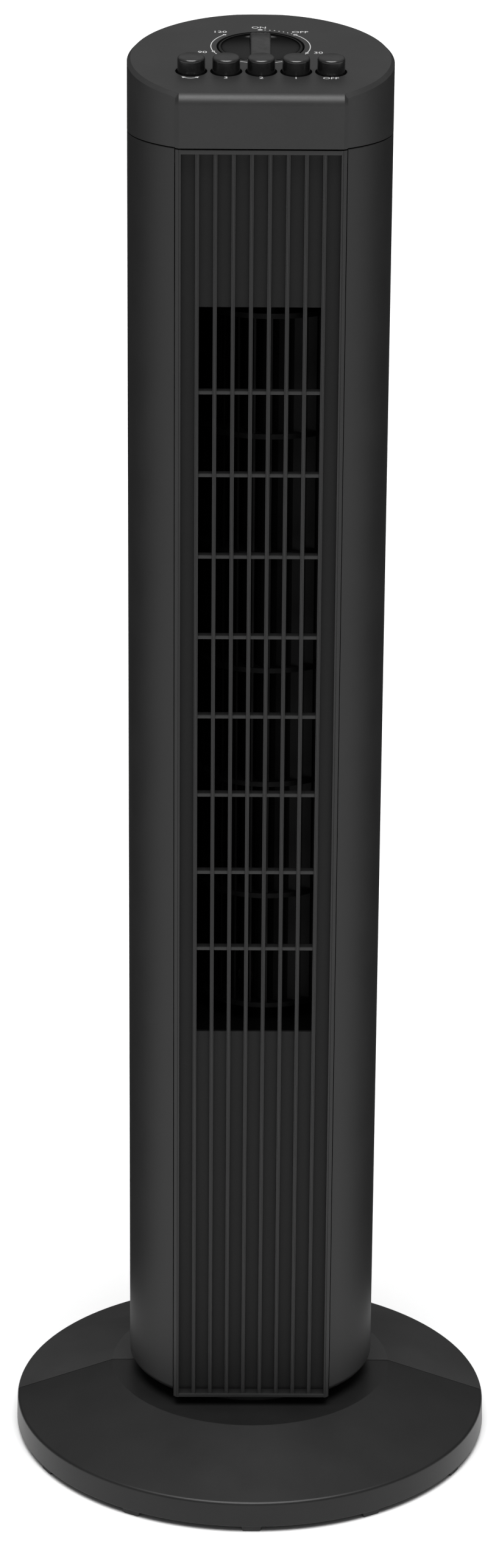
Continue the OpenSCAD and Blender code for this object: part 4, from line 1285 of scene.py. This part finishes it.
@dataclass
class TimerKnob:
    """Glossy dial: a dished bowl with a crowned grip bar across it."""

    top: SlantedTop
    radius: float = 20.85
    sunk: float = 4.4
    bowl: float = 3.4
    lip: float = 1.3
    floor_r: float = 7.0
    grip_w: float = 10.0
    crown: float = 3.8
    grip_round: float = 1.0

    def dish(self) -> Shape:
        """The turned bowl.

        Returns:
            The bowl, about the local origin.
        """
        rim = self.radius - self.lip
        hollow = [(self.floor_r + (rim - self.floor_r) * math.cos(math.radians(a)),
                   -self.bowl * math.sin(math.radians(a))) for a in range(0, 91, 9)]
        wall = rounded([(self.radius, -self.sunk, 0.3), (self.radius, 0, 0.7), (rim, 0, 0)], 4)
        return Shape.lathe([(0, -self.sunk), *wall, *hollow[1:], (0, -self.bowl)], 96)

    def grip(self) -> Shape:
        """The bar, crowned along its length.

        Returns:
            The bar, about the local origin.
        """
        reach = self.radius - 0.5
        bend = (reach ** 2 + self.crown ** 2) / (2 * self.crown)
        spread = math.asin(reach / bend)
        arc = [(bend * math.sin(a), self.crown - bend + bend * math.cos(a))
               for a in (spread * (1 - 2 * k / 28) for k in range(29))]
        outline = [(-reach, -self.sunk + 0.2), (reach, -self.sunk + 0.2), *arc]
        bar = Shape.prism(outline, -self.grip_w / 2, self.grip_w / 2)
        bar.soften(self.grip_round, 3, lambda e: e.calc_face_angle(0.0) > FOLDED
                   and max(v.co.y for v in e.verts) > -1.0 and abs(e.verts[0].co.z - e.verts[1].co.z) < 0.01)
        turn = Matrix(((0, 0, 1, 0), (1, 0, 0, 0), (0, 1, 0, 0), (0, 0, 0, 1)))
        return bar.move(turn)

    def build(self) -> None:
        """Builds the knob."""
        place = self.top.place(0, self.top.knob_v)
        # Painted shade and highlight: the dial and the grip are one gloss plastic coloured apart, the dial darker
        # for its shaded hollows and the grip lighter for its highlight.
        dial_shaded_gloss = PolishedPlastic("dial_painted_shade_gloss", tone=0.001, roughness=0.12, specular=0.12)
        grip_lit_polish = PolishedPlastic("grip_painted_highlight_gloss", tone=0.008, roughness=0.25, specular=0.7)
        self.dish().move(place).piece("timer_dial", "knob", Slot.GLOSS, ["timer_knob"], dial_shaded_gloss)
        self.grip().move(place).piece("timer_grip", "knob", Slot.GLOSS, finish=grip_lit_polish)


@dataclass
class PushButtons:
    """Five glossy buttons with rounded edges and a slight dome."""

    top: SlantedTop
    radius: float = 6.7
    height: float = 7.8
    edge: float = 1.35
    flange_r: float = 8.15
    flange_top: float = -3.0
    flange_foot: float = -4.2
    stem_r: float = 2.5
    stem_end: float = -15.6

    def outline(self) -> list[Point]:
        """Section of a button from the foot of its stem to the crown.

        Returns:
            The outline in millimetres.
        """
        shoulder = self.height - 0.45
        corner = rounded([(self.radius, self.flange_top, 0), (self.radius, shoulder, self.edge),
                          (0.01, self.height + 0.1, 0)], 6)
        dome = [(self.radius * 0.5, self.height - 0.14), (self.radius * 0.25, self.height - 0.04),
                (0, self.height)]
        return [(0, self.stem_end), (self.stem_r, self.stem_end), (self.stem_r, self.flange_foot),
                (self.flange_r, self.flange_foot), (self.flange_r, self.flange_top), *corner[:-1], *dome]

    def build(self) -> None:
        """Builds the five buttons."""
        for i, use in enumerate(("oscillate", "high", "medium", "low", "off")):
            place = self.top.place((i - 2) * self.top.button_pitch, self.top.button_v)
            button = Shape.lathe(self.outline(), 64).move(place)
            button.piece(f"push_button_{use}", f"push_{use}", Slot.GLOSS, [f"button_{use}"],
                         PolishedPlastic("button_gloss", tone=0.007, roughness=0.2, specular=0.55))


@dataclass
class Legends:
    """Printed scale of the timer and the marks under the buttons."""

    top: SlantedTop
    scale_r: float = 24.3
    line: float = 0.42
    lift: float = 0.015
    ink: float = 0.04
    letter: float = 2.75
    widen: float = 1.18
    capital: float = 0.69
    mark_v: float = -29.3

    def flat(self, outline: Sequence[Point]) -> Shape:
        """A thin printed patch with that outline."""
        return Shape.prism(outline, self.lift, self.lift + self.ink)

    def dot(self, angle: float, across: float, along: float) -> Shape:
        """An oval mark on the scale; angle runs clockwise from the back, in degrees.

        Args:
            angle: its place on the scale.
            across: half its width.
            along: half its height.

        Returns:
            The mark.
        """
        turn = math.radians(angle)
        centre = Vector((self.scale_r * math.sin(turn),
                         self.top.knob_v + self.scale_r * math.cos(turn)))
        ring = [(centre.x + across * math.cos(a), centre.y + along * math.sin(a))
                for a in (2 * math.pi * k / 16 for k in range(16))]
        return self.flat(ring)

    def arc(self, radius: float, start: float, sweep: float, steps: int) -> Shape:
        """A thin curved line about the local origin.

        Args:
            radius: its radius.
            start: first angle in degrees.
            sweep: angle covered, in degrees.
            steps: pieces in the line.

        Returns:
            The line.
        """
        half = self.line / 2
        return Shape.lathe([(radius - half, self.lift), (radius + half, self.lift),
                            (radius + half, self.lift + self.ink), (radius - half, self.lift + self.ink)],
                           steps, start, sweep)

    def word(self, text: str, x: float, v: float, size: float) -> Shape:
        """A word as a thin mesh, centred on a place of the slanted top.

        Args:
            text: the letters.
            x: its middle across.
            v: its middle up the slope.
            size: height of a capital.

        Returns:
            The word.
        """
        curve = bpy.data.curves.new("legend", "FONT")
        curve.body = text
        curve.size = size / self.capital
        curve.align_x = "CENTER"
        curve.align_y = "CENTER"
        curve.extrude = self.ink / 2
        curve.resolution_u = 4
        holder = bpy.data.objects.new("legend", curve)
        mesh = bpy.data.meshes.new_from_object(holder)
        shape = Shape()
        shape.bm.from_mesh(mesh)
        bmesh.ops.remove_doubles(shape.bm, verts=shape.bm.verts, dist=MERGE)
        bpy.data.objects.remove(holder)
        bpy.data.curves.remove(curve)
        bpy.data.meshes.remove(mesh)
        place = Matrix.Translation((x, v, self.lift + self.ink / 2)) @ Matrix.Diagonal((self.widen, 1, 1, 1))
        return shape.move(place)

    def scale(self) -> Shape:
        """The timer's scale: a line from OFF round the front to 120, dots from ON to OFF.

        Returns:
            The scale.
        """
        middle = Matrix.Translation((0, self.top.knob_v, 0))
        print_ = self.arc(self.scale_r, -225.0, 270.0, 90).move(middle)
        for k in range(1, 8):
            print_.join(self.dot(45.0 * k / 8, 0.36, 0.36))
        for angle, across, along in ((0, 1.3, 0.75), (45, 1.1, 0.7), (112.5, 0.8, 0.8),
                                     (180, 0.8, 0.8), (251.5, 0.8, 0.8), (313.7, 0.9, 0.7)):
            print_.join(self.dot(angle, across, along))
        for text, x, v in (("ON", -0.6, 43.6), ("OFF", 19.6, 37.2), ("30", 28.0, 7.0), ("60", 0.0, -10.9),
                           ("90", -28.4, 7.0), ("120", -19.9, 36.9)):
            print_.join(self.word(text, x, v, self.letter))
        return print_

    def swing_mark(self) -> Shape:
        """A shallow bow with an arrowhead at each end.

        Returns:
            The sign.
        """
        bend, spread = 5.2, 34.0
        mark = self.arc(bend, -90 - spread, 2 * spread, 16)
        tip = math.radians(spread + 4)
        head = self.flat([(bend * math.sin(tip) + 1.0, -bend * math.cos(tip) + 1.05),
                          (bend * math.sin(tip) - 0.95, -bend * math.cos(tip) + 0.5),
                          (bend * math.sin(tip) + 0.35, -bend * math.cos(tip) - 0.95)])
        mark.join(head.twin(MIRROR), head)
        return mark.move(Matrix.Translation((-34.0, self.mark_v + bend - 0.9, 0)))

    def build(self) -> None:
        """Builds the print on the cap."""
        place = self.top.place(0, 0)
        self.scale().move(place).piece("timer_scale", "tower", Slot.SHELL, finish=SILVER_PRINT)
        marks = self.swing_mark()
        for text, x in (("3", -17.0), ("2", 0.0), ("1", 16.6), ("OFF", 33.3)):
            marks.join(self.word(text, x, self.mark_v, self.letter * 0.95))
        marks.move(place).piece("button_marks", "tower", Slot.SHELL, finish=SILVER_PRINT)


@dataclass
class Workings:
    """Every CAD node whose shape is already right, dressed in its own finish."""

    def build(self) -> None:
        """Gives each remaining node the finish of its slot."""
        for row in frame["record"]["subparts"]:
            node = frame["nodes"][row["node"]]
            material = SHOP.get(FINISHES[Slot(row["material_slot"])])
            if node.material_slots:
                for place in node.material_slots:
                    place.material = material
            else:
                node.data.materials.append(material)


# ---- studio ----


@dataclass
class Studio:
    """Pale floor, soft lights and the camera."""

    floor_half: float = 12.0
    sheet_r: float = 0.18
    camera_at: tuple[float, float, float] = (-0.02173, -1.95896, 1.04825)
    pitch: float = 19.229
    yaw: float = -0.5546
    roll: float = 0.4449
    lens: float = 92.395
    sensor: float = 36.0
    room: float = 0.05
    front_glow: float = 1.25
    rear_glow: float = 0.36
    low_span: Point = (-0.3, 0.15)
    front_span: Point = (-0.55, 0.2)
    rear_span: Point = (0.15, 0.75)
    overhead: float = 3.8
    overhead_spread: float = 46.0
    overhead_lean: float = 16.0

    def floor(self) -> None:
        """Lays the floor: a sheet under the fan that shows in it, and the wide floor, which doesn't."""
        bm = bmesh.new()
        inner = bmesh.ops.create_circle(bm, cap_ends=False, radius=self.sheet_r, segments=96)["verts"]
        outer = bmesh.ops.create_circle(bm, cap_ends=False, radius=self.floor_half, segments=96)["verts"]
        edges = list({e for v in (*inner, *outer) for e in v.link_edges})
        bmesh.ops.bridge_loops(bm, edges=edges)
        bmesh.ops.recalc_face_normals(bm, faces=bm.faces)
        self.lay("studio_floor", bm).visible_glossy = False
        bm = bmesh.new()
        bmesh.ops.create_circle(bm, cap_ends=True, radius=self.sheet_r, segments=96)
        self.lay("studio_sheet", bm)

    def lay(self, name: str, bm: bmesh.types.BMesh) -> bpy.types.Object:
        """Ends one piece of the floor.

        Args:
            name: the piece's name.
            bm: its mesh, which is used up.

        Returns:
            The object.
        """
        mesh = bpy.data.meshes.new(name)
        bm.to_mesh(mesh)
        bm.free()
        mesh.materials.append(SHOP.get(PaintedFloor("floor_paint")))
        piece = bpy.data.objects.new(name, mesh)
        bpy.context.scene.collection.objects.link(piece)
        return piece

    def glow(self) -> None:
        """Makes the room: bright low in front, less so high up, dark elsewhere; the camera sees white."""
        world = bpy.data.worlds.new("studio_room")
        graph = Graph(world, "Generated")
        parts = {axis: graph.node("ShaderNodeSeparateXYZ", values={"Vector": graph.place}, output=axis)
                 for axis in "YZ"}
        low = graph.ease(parts["Z"] * -1.0, *self.low_span)
        front = graph.ease(parts["Y"] * -1.0, *self.front_span, self.front_glow) * low
        rear = graph.ease(parts["Z"], *self.rear_span, self.rear_glow)
        seen = graph.node("ShaderNodeLightPath", output="Is Camera Ray")
        shade = graph.node("ShaderNodeBackground", values={
            "Color": (1, 1, 1, 1), "Strength": (front + rear + self.room) * (1.0 - seen) + seen})
        graph.node("ShaderNodeOutputWorld", values={"Surface": shade})
        bpy.context.scene.world = world

    def lights(self) -> None:
        """Hangs the lights."""
        self.glow()
        data = bpy.data.lights.new("overhead", "SUN")
        data.energy = self.overhead
        data.angle = math.radians(self.overhead_spread)
        lamp = bpy.data.objects.new("overhead", data)
        lamp.rotation_euler.x = math.radians(self.overhead_lean)
        bpy.context.scene.collection.objects.link(lamp)

    def camera(self) -> None:
        """Sets the camera."""
        pitch, yaw, roll = (math.radians(a) for a in (self.pitch, self.yaw, self.roll))
        ahead = Vector((-math.sin(yaw) * math.cos(pitch), math.cos(yaw) * math.cos(pitch), -math.sin(pitch)))
        right = Vector((math.cos(yaw), math.sin(yaw), 0))
        up = right.cross(ahead)
        across = right * math.cos(roll) + up * math.sin(roll)
        upward = up * math.cos(roll) - right * math.sin(roll)
        data = bpy.data.cameras.new("camera")
        data.lens = self.lens
        data.sensor_width = self.sensor
        data.sensor_fit = "AUTO"
        data.clip_start, data.clip_end = 0.05, 60
        camera = bpy.data.objects.new("camera", data)
        turn = Matrix((across, upward, -ahead)).transposed().to_4x4()
        camera.matrix_world = Matrix.Translation(self.camera_at) @ turn
        bpy.context.scene.collection.objects.link(camera)
        bpy.context.scene.camera = camera

    def build(self) -> None:
        """Sets the stage."""
        bpy.context.scene.view_settings.view_transform = "Standard"
        self.camera()
        self.floor()
        self.lights()


def main() -> None:
    """Builds the fan and its studio."""
    logging.basicConfig(level=logging.INFO, format="%(message)s")
    top = SlantedTop()
    parts = [Studio(), Workings(), BaseDisc(), FrontShell(), Grille(), TopCap(top), TimerKnob(top),
             PushButtons(top), Legends(top)]
    for part in parts:
        part.build()
        LOG.info("built %s", type(part).__name__)


if __name__ == "__main__":
    main()
